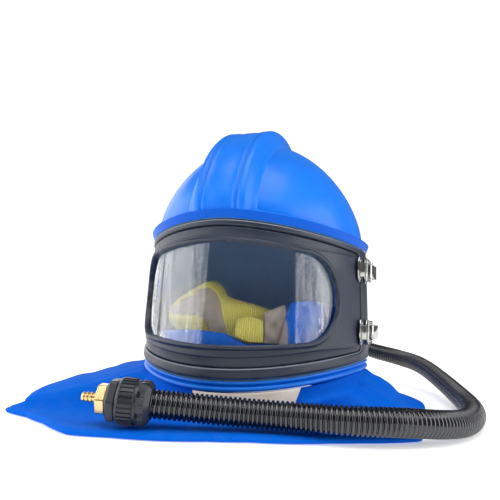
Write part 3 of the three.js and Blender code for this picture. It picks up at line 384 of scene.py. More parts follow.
def new_finish(name, roughness=None, metallic=0.0, **sockets):
    material = bpy.data.materials.new(name)
    material.use_nodes = True
    nodes = Nodes(material.node_tree)
    shader = material.node_tree.nodes["Principled BSDF"]
    shader.inputs["Metallic"].default_value = metallic
    if roughness is not None:
        shader.inputs["Roughness"].default_value = roughness
    for label, value in sockets.items():
        shader.inputs[label.replace("_", " ")].default_value = value
    return material, nodes, shader


def effect(nodes, name, **values):
    node = nodes.add("ShaderNodeGroup", node_tree=GROUPS[name])
    for label, value in values.items():
        nodes.put(node.inputs[label], value)
    return node.outputs


def moulded_finish(name, colour, highlit_wear_colour, dark, gloss, grain, depth, dust, **sockets):
    """Moulded plastic: grain, uneven gloss, dust, hairline scratches, and worn edges with a painted
    highlight.
    """
    material, nodes, shader = new_finish(name, **sockets)
    skin = effect(nodes, "grain", Size=grain, Unevenness=0.035)
    wear_and_highlight = effect(nodes, "worn_and_highlit_edges", Start=0.53, Amount=0.5)["Mask"]
    dusty = effect(nodes, "dust", Amount=dust, Patch=0.012)["Mask"]
    lines = effect(nodes, "scratches", Amount=0.35, Length=0.05)["Mask"]
    # The pale edge colour along outer corners is partly wear and partly a painted highlight.
    base = nodes.mix(wear_and_highlight, nodes.mix(skin["Mask"], dark, colour), highlit_wear_colour)
    nodes.put(shader.inputs["Base Color"], nodes.mix(dusty, base, (0.62, 0.6, 0.56)))
    rough = nodes.ramp(skin["Mask"], 0.0, 1.0, gloss * 0.85, gloss * 1.15)
    rough = nodes.math("ADD", rough, nodes.times(lines, 0.35))
    rough = nodes.math("ADD", rough, nodes.times(dusty, 0.5), clamp=True)
    nodes.put(shader.inputs["Roughness"], rough)
    nodes.put(shader.inputs["Normal"], nodes.relief(skin["Height"], depth))
    return material


def metal_finish(name, colour, dark, gloss, grain=0.0004):
    """Plated or turned metal: fine grain, scratches, and painted shade in the corners."""
    material, nodes, shader = new_finish(name, metallic=1.0)
    skin = effect(nodes, "grain", Size=grain, Unevenness=0.01)
    lines = effect(nodes, "scratches", Amount=0.8, Length=0.02)["Mask"]
    # Painted shade: concave places take the dark colour and get rougher.
    shaded_hollow = nodes.ramp(nodes.read("NewGeometry", "Pointiness"), 0.42, 0.5, 1.0, 0.0)
    nodes.put(shader.inputs["Base Color"], nodes.mix(shaded_hollow, colour, dark))
    rough = nodes.ramp(skin["Mask"], 0.0, 1.0, gloss * 0.7, gloss * 1.4)
    rough = nodes.math("ADD", rough, nodes.times(lines, 0.25))
    rough = nodes.math("ADD", rough, nodes.times(shaded_hollow, 0.25), clamp=True)
    nodes.put(shader.inputs["Roughness"], rough)
    nodes.put(shader.inputs["Normal"], nodes.relief(skin["Height"], 0.00002))
    return material


def cloth_finish(name, colour, shade, pitch, depth, gloss, crumple, **sockets):
    """Woven cloth: thread relief, two shades of thread, soft crumple and a little dust."""
    material, nodes, shader = new_finish(name, **sockets)
    thread = effect(nodes, "weave", Pitch=pitch, Uneven=0.35)
    soft = effect(nodes, "grain", Size=0.009, Unevenness=0.05)
    dusty = effect(nodes, "dust", Amount=0.02, Patch=0.015)["Mask"]
    base = nodes.mix(thread["Thread"], shade, colour)
    base = nodes.mix(nodes.times(soft["Mask"], 0.25), base, shade)
    nodes.put(shader.inputs["Base Color"], nodes.mix(dusty, base, (0.6, 0.58, 0.55)))
    nodes.put(shader.inputs["Roughness"], nodes.ramp(thread["Thread"], 0.0, 1.0, gloss, gloss + 0.12))
    large = nodes.relief(soft["Height"], crumple)
    nodes.put(shader.inputs["Normal"], nodes.relief(thread["Height"], depth, large))
    return material


def knit_finish(name, colour, shade, rib_pitch=0.0021, stitch_pitch=0.0012):
    """Rib knit: stitches along each rib, from the piece's own measured layout, with painted shade between the
    ribs.
    """
    material, nodes, shader = new_finish(name, Sheen_Weight=0.15, Sheen_Roughness=0.5, Specular_IOR_Level=0.2)
    split = nodes.add("ShaderNodeSeparateXYZ", {0: nodes.read("TexCoord", "UV")})
    rib = nodes.math("SINE", nodes.times(split.outputs["X"], 2 * math.pi / rib_pitch))
    stitch = nodes.math("SINE", nodes.times(split.outputs["Y"], 2 * math.pi / stitch_pitch))
    height = nodes.math("ADD", nodes.ramp(rib, -1, 1), nodes.times(nodes.ramp(stitch, -1, 1), 0.35))
    fluff = effect(nodes, "grain", Size=0.0005, Unevenness=0.02)
    # Painted shade: the valleys between the ribs take the darker yellow.
    base = nodes.mix(nodes.ramp(rib, -1, 0.6), shade, colour)
    nodes.put(shader.inputs["Base Color"], nodes.mix(nodes.times(fluff["Mask"], 0.2), base, shade))
    nodes.put(shader.inputs["Roughness"], nodes.ramp(rib, -1, 1, 0.95, 0.8))
    small = nodes.relief(fluff["Height"], 0.0002)
    nodes.put(shader.inputs["Normal"], nodes.relief(height, 0.0007, small))
    return material


def lens_finish():
    """Clear polycarbonate with streaks and specks in its reflections. It lets the lamps' light in."""
    material, nodes, shader = new_finish("lens", IOR=1.52, Transmission_Weight=1.0)
    place = nodes.read("TexCoord", "Object")
    tall = nodes.add("ShaderNodeMapping", {"Vector": place, "Scale": (1.0, 1.0, 0.09)})
    streak = nodes.noise(tall.outputs[0], 240.0, 3.0)
    ripple = nodes.math("ADD", streak, nodes.times(nodes.noise(place, 900.0, 2.0), 0.22))
    dusty = effect(nodes, "dust", Amount=0.25, Patch=0.004)["Mask"]
    nodes.put(shader.inputs["Base Color"], nodes.mix(dusty, (0.95, 0.97, 0.98), (0.82, 0.84, 0.85)))
    nodes.put(shader.inputs["Roughness"], nodes.ramp(dusty, 0.0, 1.0, 0.015, 0.08))
    relief = nodes.relief(ripple, 0.00003)
    clear = nodes.add("ShaderNodeBsdfTransparent", {"Color": (0.9, 0.92, 0.93)})
    shadow = nodes.read("LightPath", "Is Shadow Ray")
    speck = nodes.noise(place, 480.0, 2.0)
    specks, streaks = nodes.ramp(speck, 0.44, 0.56, 0.0, 0.5), nodes.ramp(streak, 0.42, 0.58, 0.0, 0.5)
    film = nodes.math("ADD", specks, streaks)
    mirror = nodes.add("ShaderNodeBsdfAnisotropic", {"Color": (1, 1, 1), "Roughness": 0.06, "Normal": relief})
    glance = nodes.add("ShaderNodeFresnel", {"IOR": 1.52, "Normal": relief}).outputs[0]
    hidden = nodes.math("MAXIMUM", nodes.read("NewGeometry", "Backfacing"), shadow)
    veil = nodes.math("MULTIPLY", glance, nodes.ramp(film, 0.0, 1.0, 2.5, 0.35), clamp=True)
    veil = nodes.times(veil, nodes.math("SUBTRACT", 1.0, hidden))
    thin = nodes.add("ShaderNodeMixShader", {0: veil, 1: clear.outputs[0], 2: mirror.outputs[0]})
    share = nodes.math("MAXIMUM", shadow, 0.88)
    both = nodes.add("ShaderNodeMixShader", {0: share, 1: shader.outputs[0], 2: thin.outputs[0]})
    nodes.put(material.node_tree.nodes["Material Output"].inputs["Surface"], both.outputs[0])
    return material


FINISHES = {
    "shell": moulded_finish(
        "shell_blue", (0.002, 0.168, 0.74), (0.04, 0.27, 0.82), (0.0015, 0.15, 0.69),
        gloss=0.34, grain=0.0012, depth=0.000015, dust=0.0, Specular_IOR_Level=0.28, Coat_Weight=0.04,
        Coat_Roughness=0.1,
    ),
    # A darker copy of the shell blue: painted shade on the brim's face, turned away from the light above.
    "brim": moulded_finish(
        "shell_blue_brim_shaded", (0.002, 0.1, 0.56), (0.02, 0.2, 0.75), (0.001, 0.09, 0.55),
        gloss=0.4, grain=0.0012, depth=0.000015, dust=0.0, Specular_IOR_Level=0.1,
    ),
    # The shell's inside is the same blue plastic, painted a greyer slate as shade.
    "shell_inside_painted_shade": moulded_finish(
        "shell_inside_painted_shade", (0.27, 0.43, 0.62), (0.32, 0.48, 0.66), (0.24, 0.39, 0.58),
        gloss=0.6, grain=0.0015, depth=0.00004, dust=0.0,
    ),
    # The frame's pale third colour is mostly a painted highlight along its edges.
    "frame": moulded_finish(
        "frame_grey", (0.018, 0.026, 0.045), (0.3, 0.34, 0.4), (0.014, 0.021, 0.038),
        gloss=0.4, grain=0.0007, depth=0.00003, dust=0.015, Specular_IOR_Level=0.42,
    ),
    # A lighter grey for painted highlight lines on the surround's edge roundings.
    "frame_edge_highlight": moulded_finish(
        "frame_grey_edge_highlight", (0.17, 0.19, 0.24), (0.3, 0.34, 0.4), (0.15, 0.17, 0.21),
        gloss=0.35, grain=0.0007, depth=0.00003, dust=0.015,
    ),
    "fitting": moulded_finish(
        "fitting_grey", (0.02, 0.024, 0.032), (0.12, 0.13, 0.15), (0.015, 0.018, 0.026),
        gloss=0.34, grain=0.0006, depth=0.00003, dust=0.02, Specular_IOR_Level=0.42,
    ),
    "hose": moulded_finish(
        "hose_black", (0.004, 0.005, 0.009), (0.02, 0.02, 0.025), (0.003, 0.004, 0.007),
        gloss=0.16, grain=0.0008, depth=0.000005, dust=0.0, IOR=1.75,
    ),
    # Each metal's second colour is the painted shade in its hollows.
    "chrome": metal_finish("chrome", (0.46, 0.46, 0.44), (0.02, 0.02, 0.02), 0.1),
    "brass": metal_finish("brass", (0.86, 0.62, 0.3), (0.3, 0.2, 0.08), 0.24),
    "cape": cloth_finish(
        "cape_cloth", (0.002, 0.135, 0.7), (0.001, 0.105, 0.58), pitch=0.00055, depth=0.00004,
        gloss=0.6, crumple=0.0006, Specular_IOR_Level=0.02,
    ),
    "collar": cloth_finish(
        "collar_cloth", (0.004, 0.12, 0.56), (0.002, 0.09, 0.44), pitch=0.0006, depth=0.00006,
        gloss=0.6, crumple=0.0012, Specular_IOR_Level=0.05,
    ),
    "lining": cloth_finish(
        "lining_cloth", (0.88, 0.8, 0.7), (0.74, 0.66, 0.56), pitch=0.0008, depth=0.00015,
        gloss=0.8, crumple=0.0008, Sheen_Weight=0.2, Sheen_Roughness=0.5,
    ),
    "inner_lining": cloth_finish(
        "inner_lining", (0.46, 0.37, 0.31), (0.33, 0.27, 0.23), pitch=0.0008, depth=0.00015,
        gloss=0.8, crumple=0.0014, Sheen_Weight=0.1, Sheen_Roughness=0.5, Specular_IOR_Level=0.2,
    ),
    "knit": knit_finish("knit_yellow", (0.85, 0.72, 0.16), (0.62, 0.5, 0.09)),
    "lens": lens_finish(),
}


# Hose and its fittings

def hose_frames(points):
    """At each point the line's direction and two directions across it that turn as little as they can."""
    side = Vector((0, 0, 1))
    frames = []
    for index in range(len(points)):
        ahead = (points[min(index + 1, len(points) - 1)] - points[max(index - 1, 0)]).normalized()
        side = (side - ahead * side.dot(ahead)).normalized()
        frames.append((ahead, side, ahead.cross(side)))
    return frames


def make_hose():
    profile = [0.0, 0.12, 0.72, 0.96, 1.0, 1.0, 0.96, 0.72, 0.12]
    rows = len(profile)
    points, length = spaced(hose_line(HOSE_ROUTE), RIB_PITCH / rows)
    sides = 36
    around = [2 * math.pi * side / sides for side in range(sides)]
    rings = []
    for index, (point, (_, up, across)) in enumerate(zip(points, hose_frames(points))):
        radius = HOSE_RADIUS - 0.0019 * (1 - profile[index % rows])
        rings.append([point + (up * math.cos(turn) + across * math.sin(turn)) * radius for turn in around])
    mesh_points, faces = capped(rings)
    hose = make_piece("breathing_hose_ribbed", mesh_points, faces, FINISHES["hose"], sharp=0)
    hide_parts("breathing_hose")
    return hose, points[::4] + [points[-1]], length


def fitting_place():
    line = hose_line(HOSE_ROUTE)
    ahead = (line[-1] - line[-2]).normalized()
    side = (Vector((0, 0, 1)) - ahead * ahead.z).normalized()
    return line[-1], ahead, side, ahead.cross(side)


def turned(rows, start, place, outline, sides):
    """Rings about an axis from rows of distance and radius. Place is its start, direction and two across."""
    origin, ahead, up, across = place
    rings = []
    for along, radius in rows:
        ring = []
        for side in range(sides):
            turn = 2 * math.pi * side / sides
            out = (up * math.cos(turn) + across * math.sin(turn)) * outline(turn, along, radius)
            ring.append(origin + ahead * (start + along) + out)
        rings.append(ring)
    return rings


def fitting(name, start, rows, outline, finish, sides, sharp=32):
    """A turned or moulded piece on the hose's end, whose outline shapes each row."""
    points, faces = capped(turned(rows, start, fitting_place(), outline, sides))
    return make_piece(name, points, faces, FINISHES[finish], sharp=sharp)


def hexagon(turn, along, radius):
    """Radius is half the width across flats. Corners are cut back a little."""
    turned = (turn + math.pi / 6) % (math.pi / 3) - math.pi / 6
    return min(radius / math.cos(turned), radius * 1.125)


def round_outline(turn, along, radius):
    return radius


def grip_outline(turn, along, radius):
    """Flat grips around the nut's body, and six flats on its collar towards the hose."""
    if 0.0142 < along < 0.0262:
        wave = math.cos(30 * turn)
        return radius - 0.0012 * min(1, max(0, 0.5 + 1.8 * wave))
    if along < 0.0105:
        notch = 0.0016 * smooth_step(math.cos(6 * turn), 0.55, 0.8) * smooth_step(along, 0.0046, 0.0056)
        return min(hexagon(turn, along, radius * 0.9), radius) - notch
    return radius


INLET_HEIGHT = 0.105
INLET_GAP = 0.0008


def make_fittings():
    nut_rows = [
        (0.0000, 0.0140), (0.0000, 0.0160), (0.0006, 0.0168), (0.0040, 0.0196), (0.0046, 0.0200),
        (0.0098, 0.0200), (0.0104, 0.0196), (0.0112, 0.0186), (0.0134, 0.0186), (0.0140, 0.0194),
        (0.0144, 0.0200), (0.0150, 0.0200), (0.0254, 0.0200), (0.0262, 0.0199), (0.0276, 0.0192),
        (0.0288, 0.0182), (0.0290, 0.0150),
    ]
    nut = fitting("hose_nut_ribbed", 0.0003, nut_rows, grip_outline, "fitting", 300)
    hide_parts("hose_nut")
    gland_rows = [
        (0.0, 0.0140), (0.0, 0.0158), (0.0008, 0.0168), (0.0014, 0.0170), (0.0060, 0.0170), (0.0066, 0.0168),
        (0.0074, 0.0150), (0.0090, 0.0136), (0.0090, 0.0110),
    ]
    gland = fitting("hose_gland_hex", 0.0296, gland_rows, hexagon, "fitting", 144)
    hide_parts("hose_gland")
    bushing_rows = [
        (0.0, 0.0080), (0.0, 0.0112), (0.0007, 0.0119), (0.0011, 0.0120), (0.0074, 0.0120), (0.0080, 0.0118),
        (0.0086, 0.0100), (0.0096, 0.0066), (0.0100, 0.0062), (0.0100, 0.0040),
    ]
    bushing = fitting("hose_bushing_hex", 0.0389, bushing_rows, hexagon, "brass", 144)
    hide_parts("hose_bushing")
    barb_rows = [
        (0.0, 0.0026), (0.0, 0.0040), (0.0008, 0.0040), (0.0030, 0.0036), (0.0032, 0.0045),
        (0.0037, 0.0045), (0.0064, 0.0035), (0.0066, 0.0044), (0.0071, 0.0044), (0.0097, 0.0034),
        (0.0099, 0.0042), (0.0104, 0.0042), (0.0120, 0.0034), (0.0120, 0.0020), (0.0090, 0.0019),
    ]
    barb = fitting("hose_barb_turned", 0.0492, barb_rows, round_outline, "brass", 48, 30)
    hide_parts("hose_barb")
    return [nut, gland, bushing, barb]


def make_inlet():
    """The spigot in the shell's back, with a flange, a clamp groove and a bevelled end."""
    wall = wall_point(math.pi, INLET_HEIGHT, -REAR_INSET)
    place = wall, Vector((0, 1, 0)), Vector((1, 0, 0)), Vector((0, 0, 1))
    rows = [
        (0.0, 0.0100), (0.0, 0.0168), (0.0003, 0.0170), (0.0034, 0.0170), (0.0040, 0.0164),
        (0.0041, 0.0136), (0.0050, 0.0128), (0.0056, 0.0125), (0.0090, 0.0125), (0.0093, 0.0121),
        (0.0110, 0.0121), (0.0113, 0.0125), (0.0174, 0.0125), (0.0180, 0.0120), (0.0180, 0.0100),
    ]
    points, faces = capped(turned(rows, INLET_GAP, place, round_outline, 72))
    inlet = make_piece("hose_inlet_spigot", points, faces, FINISHES["fitting"], sharp=30)
    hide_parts("hose_inlet")


# Shell

COLLAR_ROWS = [
    # share of the collar's height above the rim line, distance outside the frame's face
    (0.0, -0.0062), (0.0, -0.0046), (0.03, -0.0034), (0.09, -0.0024), (0.17, -0.0020), (0.27, -0.0020),
    (0.35, -0.0023), (0.41, -0.0031), (0.46, -0.0043), (0.5, -0.0049), (0.54, -0.0043), (0.59, -0.0030),
    (0.66, -0.0022), (0.75, -0.0020), (0.83, -0.0022), (0.89, -0.0031), (0.94, -0.0045), (1.0, None),
]
BRIM_ROWS = [
    (0.02, -0.0010), (0.05, 0.0000), (0.1, 0.0004), (0.2, 0.0008), (0.35, 0.0015), (0.5, 0.0022),
    (0.64, 0.0028), (0.7, 0.0030), (0.75, 0.0025), (0.79, 0.0014), (0.83, 0.0002), (0.87, -0.0013),
    (0.92, -0.0030), (0.96, -0.0042),
]


def shell_rings(columns=216, dome_rows=46):
    angles = [-math.pi + 2 * math.pi * column / columns for column in range(columns)]

    def body_ring(share, inset):
        ring = []
        for angle in angles:
            low, high = lower_line(FRAME_BOTTOM, angle), upper_line(FRAME_TOP, angle)
            ring.append(wall_point(angle, low + (high - low) * share, body_offset(angle) - inset))
        return ring

    rings = []
    for share, out in COLLAR_ROWS:
        ring = []
        for angle in angles:
            height = lower_line(RIM, angle) + share * COLLAR
            ring.append(wall_point(angle, height, body_offset(angle) if out is None else out))
        rings.append(ring)
    rings += [body_ring(share, 0) for share in (0.04, 0.5, 0.96, 1.0)]
    for share, out in BRIM_ROWS:
        ring = []
        for angle in angles:
            ring.append(wall_point(angle, upper_line(FRAME_TOP, angle) + share * BRIM, out))
        rings.append(ring)
    for step in range(dome_rows):
        rings.append([dome_point(angle, dome_share(step, dome_rows)) for angle in angles])
    outer_count = len(rings)
    inset = SHELL_WALL + 0.002
    for step in range(20, -1, -1):
        share = min(dome_share(step, 20), 0.9995)
        rings.append([dome_point(angle, share, inset) for angle in angles])
    rings += [body_ring(share, SHELL_WALL) for share in (1.0, 0.5, 0.0)]
    rings.append([wall_point(angle, lower_line(RIM, angle), -BODY_INSET - SHELL_WALL) for angle in angles])
    return rings, outer_count


RIDGE_HALF = 0.025
RIDGE_FLANK = [
    # distance past the band's edge, height as a share of the ridge's
    (0.0130, -0.25), (0.0100, 0.0), (0.0080, 0.08), (0.0062, 0.24), (0.0046, 0.46), (0.0031, 0.70),
    (0.0018, 0.88),
]
RIDGE_CROWN = [
    # distance inside the band's edge, depth under the ribs' top
    (-0.0005, 0.0010), (0.0008, 0.0003), (0.0020, 0.0000), (0.0032, 0.0001), (0.0042, 0.0007),
    (0.0050, 0.0018), (0.0058, 0.0021), (0.0066, 0.0018), (0.0074, 0.0007), (0.0084, 0.0002),
    (0.0094, 0.0003), (0.0104, 0.0010), (0.0118, 0.0013), (0.0170, 0.0009), (0.0210, 0.0006),
]


def ridge_rings():
    """The raised band over the dome, highest at the crest, with a double rib along each side."""
    steps = 48
    spine = [(dome_share(step, steps), 0.0) for step in range(steps + 1)]
    spine += [(dome_share(step, steps), math.pi) for step in range(steps - 1, -1, -1)]
    line = [dome_point(angle, min(share, 1)) for share, angle in spine]
    rings = []
    for index, (share, _) in enumerate(spine):
        point = line[index]
        ahead = (line[min(index + 1, len(line) - 1)] - line[max(index - 1, 0)]).normalized()
        up = Vector((0, -ahead.z, ahead.y))
        top = 0.005 + 0.009 * min(share, 1) ** 0.7
        half = []
        for past, part in RIDGE_FLANK:
            side = RIDGE_HALF + past
            drop = side * side / (2 * 0.135)
            half.append((side, part * top - (1 - part) * drop))
        half += [(RIDGE_HALF - inside, top - under * min(1, top / 0.009)) for inside, under in RIDGE_CROWN]
        profile = [(-side, height) for side, height in half] + half[::-1]
        rings.append([point + up * height + Vector((side, 0, 0)) for side, height in profile])
    sunk = Vector((0, 0, -0.006))
    return [[point + sunk for point in rings[0]]] + rings + [[point + sunk for point in rings[-1]]]


def window_panel(grow, outer, inner, straight=64, ends=30):
    """A curved panel that fills the window's outline grown by some distance."""
    radius, level = window_end(grow)
    columns = []
    for step in range(ends, 0, -1):
        columns.append((-1, math.radians(84) * step / ends))
    for step in range(straight + 1):
        columns.append((0, WINDOW_ANGLE * (2 * step / straight - 1)))
    for step in range(1, ends + 1):
        columns.append((1, math.radians(84) * step / ends))
    rings = []
    for side, turn in columns:
        if side:
            angle = side * (WINDOW_ANGLE + radius * math.sin(turn) / wall_rate(WINDOW_ANGLE))
            top, bottom = level + radius * math.cos(turn), level - radius * math.cos(turn)
        else:
            angle = turn
            top = upper_line(WINDOW_TOP, angle) + grow
            bottom = lower_line(WINDOW_BOTTOM, angle, WINDOW_RISE) - grow
        rings.append([
            wall_point(angle, bottom, outer), wall_point(angle, top, outer),
            wall_point(angle, top, inner), wall_point(angle, bottom, inner),
        ])
    return capped(rings)


def make_shell():
    rings, outer_count = shell_rings()
    points, faces = lattice(rings, along=True)
    count = len(rings[0])
    joint = range((outer_count - 1) * count, outer_count * count)
    faces = faces[: (outer_count - 1) * count] + faces[outer_count * count :]
    faces.append(tuple(joint))
    faces.append(tuple(range(outer_count * count, (outer_count + 1) * count)))
    shell = make_piece("helmet_shell_moulded", points, faces, FINISHES["shell"], sharp=0)
    cut_points, cut_faces = window_panel(0.008, 0.003, -0.019)
    cutter = make_piece("window_cutter", cut_points, cut_faces, FINISHES["shell"], sharp=0)
    cut = shell.modifiers.new("window", "BOOLEAN")
    cut.operation = "DIFFERENCE"
    cut.solver = "EXACT"
    cut.object = cutter
    settle(shell)
    bpy.data.objects.remove(cutter)
    shell.data.materials.append(FINISHES["shell_inside_painted_shade"])
    shell.data.materials.append(FINISHES["brim"])
    # Painted shade: inward faces take the slate inside colour, and the brim's band takes the darker blue.
    for face in shell.data.polygons:
        centre = face.center
        angle = math.atan2(centre.x / HALF_WIDTH, -centre.y / HALF_DEPTH)
        plan = math.hypot(centre.x / HALF_WIDTH, centre.y / HALF_DEPTH)
        plan /= 1 - TAPER * (centre.z - PLAN_LEVEL)
        inwards = face.normal.dot(Vector((0, 0, 0.12)) - centre) > 0
        if inwards and plan < 0.988 and centre.z > lower_line(FRAME_BOTTOM, angle) - 0.002:
            face.material_index = 1
        elif not inwards and -0.002 < centre.z - upper_line(FRAME_TOP, angle) < 0.0092:
            face.material_index = 2
    shell.data.shade_smooth()
    shell.data.set_sharp_from_angle(angle=math.radians(50))
    ridge_points, ridge_faces = capped(ridge_rings())
    ridge = make_piece("helmet_ridge", ridge_points, ridge_faces, FINISHES["shell"], sharp=50)
    ridge.data.materials.append(FINISHES["shell_inside_painted_shade"])
    # Painted shade: the ridge's inward faces take the slate inside colour.
    for face in ridge.data.polygons:
        if face.normal.dot(Vector((0, 0, 0.12)) - face.center) > 0:
            face.material_index = 1
    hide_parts("helmet_shell")


# Door and surround frame

OUTLINE_STEPS = 56
END_STEPS = 64


def window_outline():
    radius, level = window_end(0)
    loop = []
    for step in range(OUTLINE_STEPS + 1):
        angle = WINDOW_ANGLE * (2 * step / OUTLINE_STEPS - 1)
        loop.append((angle, upper_line(WINDOW_TOP, angle)))

    def end_point(side, turn):
        reach = radius * math.cos(turn) / wall_rate(WINDOW_ANGLE)
        return side * (WINDOW_ANGLE + reach), level + radius * math.sin(turn)

    for step in range(1, END_STEPS):
        loop.append(end_point(1, math.pi / 2 - math.pi * step / END_STEPS))
    for step in range(OUTLINE_STEPS + 1):
        angle = WINDOW_ANGLE * (1 - 2 * step / OUTLINE_STEPS)
        loop.append((angle, lower_line(WINDOW_BOTTOM, angle, WINDOW_RISE)))
    for step in range(1, END_STEPS):
        loop.append(end_point(-1, -math.pi / 2 + math.pi * step / END_STEPS))
    return loop


def frame_outline(half_angle, corner, top, bottom):
    """A frame's edge with rounded corners. Its end points face the window's own outline points."""
    _, level = window_end(0)
    rate = wall_rate(WINDOW_ANGLE)
    corner_angle = half_angle - corner / rate

    def is_inside(angle, height):
        upper, lower = upper_line(top, angle), lower_line(bottom, angle)
        if angle > half_angle or height > upper or height < lower:
            return False
        past = (angle - corner_angle) * rate
        over = max(height - (upper - corner), lower + corner - height)
        return past < 0 or over < 0 or math.hypot(past, over) < corner

    ends = []
    for step in range(1, END_STEPS):
        turn = math.pi / 2 - math.pi * step / END_STEPS
        near, far = 0.0, 3 * HALF_DEPTH
        for _ in range(30):
            middle = (near + far) / 2
            if is_inside(WINDOW_ANGLE + middle * math.cos(turn) / rate, level + middle * math.sin(turn)):
                near = middle
            else:
                far = middle
        ends.append((WINDOW_ANGLE + near * math.cos(turn) / rate, level + near * math.sin(turn)))
    loop = []
    for step in range(OUTLINE_STEPS + 1):
        angle = WINDOW_ANGLE * (2 * step / OUTLINE_STEPS - 1)
        loop.append((angle, upper_line(top, angle)))
    loop += ends
    for step in range(OUTLINE_STEPS + 1):
        angle = WINDOW_ANGLE * (1 - 2 * step / OUTLINE_STEPS)
        loop.append((angle, lower_line(bottom, angle)))
    return loop + [(-angle, height) for angle, height in reversed(ends)]


def make_frame(name, inner_loop, outer_loop, rows, body):
    """A frame between two outlines. Each row lies at a distance from one of them, or at a share across."""
    rings = []
    for (angle_in, height_in), (angle_out, height_out) in zip(inner_loop, outer_loop):
        rate = wall_rate((angle_in + angle_out) / 2)
        span = math.hypot((angle_out - angle_in) * rate, height_out - height_in)
        ring = []
        for side, gap, out in rows:
            share = {"inner": gap / span, "outer": 1 - gap / span, "across": gap}[side]
            angle = angle_in + (angle_out - angle_in) * share
            ring.append(wall_point(angle, height_in + (height_out - height_in) * share, out))
        rings.append(ring)
    points, faces = lattice(rings, along=True)
    return make_piece(name, points, faces, FINISHES["frame"], body, sharp=42)


DOOR_ROWS = [
    ("inner", 0.0000, -0.0026), ("inner", 0.0000, 0.0008), ("inner", 0.0002, 0.0015),
    ("inner", 0.0007, 0.0020), ("inner", 0.0014, 0.0023), ("inner", 0.0024, 0.0023),
    ("inner", 0.0032, 0.0020), ("inner", 0.0038, 0.0014), ("inner", 0.0043, 0.0006),
    ("inner", 0.0050, 0.0001), ("inner", 0.0060, 0.0000), ("across", 0.4, 0.0),
    ("outer", 0.0104, 0.0000), ("outer", 0.0098, -0.0001), ("outer", 0.0093, -0.0005),
    ("outer", 0.0090, -0.0012), ("outer", 0.0086, -0.0014), ("outer", 0.0020, -0.0014),
    ("outer", 0.0010, -0.0015), ("outer", 0.0004, -0.0019), ("outer", 0.0000, -0.0026),
    ("outer", 0.0000, -0.0058), ("across", 0.7, -0.0058), ("across", 0.4, -0.0058),
    ("inner", 0.00445, -0.0058), ("inner", 0.00445, -0.0026),
]
SURROUND_ROWS = [
    ("inner", 0.0000, -0.0026), ("inner", 0.0002, -0.0012), ("inner", 0.0006, -0.0006),
    ("inner", 0.0012, -0.0002), ("across", 0.3, 0.0), ("across", 0.5, 0.0), ("across", 0.7, 0.0),
    ("outer", 0.0016, 0.0000), ("outer", 0.0009, -0.0002), ("outer", 0.0003, -0.0007),
    ("outer", 0.0000, -0.0015), ("outer", 0.0000, -0.0058), ("across", 0.68, -0.0058),
    ("across", 0.36, -0.0058), ("inner", 0.0000, -0.0058),
]


DOOR_ANGLE, DOOR_CORNER = math.radians(79), 0.010
FRAME_ANGLE, FRAME_CORNER = math.radians(97), 0.016


def make_frames():
    door_edge = frame_outline(DOOR_ANGLE, DOOR_CORNER, DOOR_TOP - SEAM / 2, DOOR_BOTTOM + SEAM / 2)
    door = make_frame("window_frame_moulded", window_outline(), door_edge, DOOR_ROWS, "door")
    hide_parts("window_frame")
    doorway = frame_outline(
        DOOR_ANGLE + SEAM / wall_rate(DOOR_ANGLE), DOOR_CORNER + SEAM / 2,
        DOOR_TOP + SEAM / 2, DOOR_BOTTOM - SEAM / 2,
    )
    edge = frame_outline(FRAME_ANGLE, FRAME_CORNER, FRAME_TOP - 0.001, FRAME_BOTTOM + 0.001)
    surround = make_frame("surround_frame_moulded", doorway, edge, SURROUND_ROWS, "helmet")
    surround.data.materials.append(FINISHES["frame_edge_highlight"])
    # Painted highlight: the inner rounding low down and the outer rounding high up take the lighter grey.
    for index, face in enumerate(surround.data.polygons):
        row = index % len(SURROUND_ROWS)
        if (row in (1, 2) and face.center.z < 0.1) or (row in (7, 8) and face.center.z > 0.15):
            face.material_index = 1
    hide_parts("surround_frame")
    points, faces = window_panel(LENS_OVERLAP, LENS_FACE, LENS_FACE - LENS_THICKNESS)
    lens = make_piece("window_lens_clear", points, faces, FINISHES["lens"], "door", sharp=30)
    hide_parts("window_lens")


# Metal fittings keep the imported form, with softened edges

EDGE_WIDTH = 0.0003


def soften(node, body):
    name = node + "_soft"
    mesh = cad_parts[node].data.copy()
    mesh.name = name
    work = bmesh.new()
    work.from_mesh(mesh)
    bmesh.ops.remove_doubles(work, verts=work.verts, dist=0.00001)
    bmesh.ops.dissolve_limit(
        work, angle_limit=math.radians(1.5), verts=work.verts, edges=work.edges, delimit=set()
    )
    work.to_mesh(mesh)
    work.free()
    piece = finish_piece(name, mesh, FINISHES["chrome"], body, sharp=0)
    bevel = piece.modifiers.new("edges", "BEVEL")
    bevel.width = EDGE_WIDTH
    bevel.segments = 2
    bevel.limit_method = "ANGLE"
    bevel.angle_limit = math.radians(50)
    bevel.use_clamp_overlap = True
    settle(piece)
    piece.data.shade_smooth()
    piece.data.set_sharp_from_angle(angle=math.radians(48))
    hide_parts(node)


# Cloth

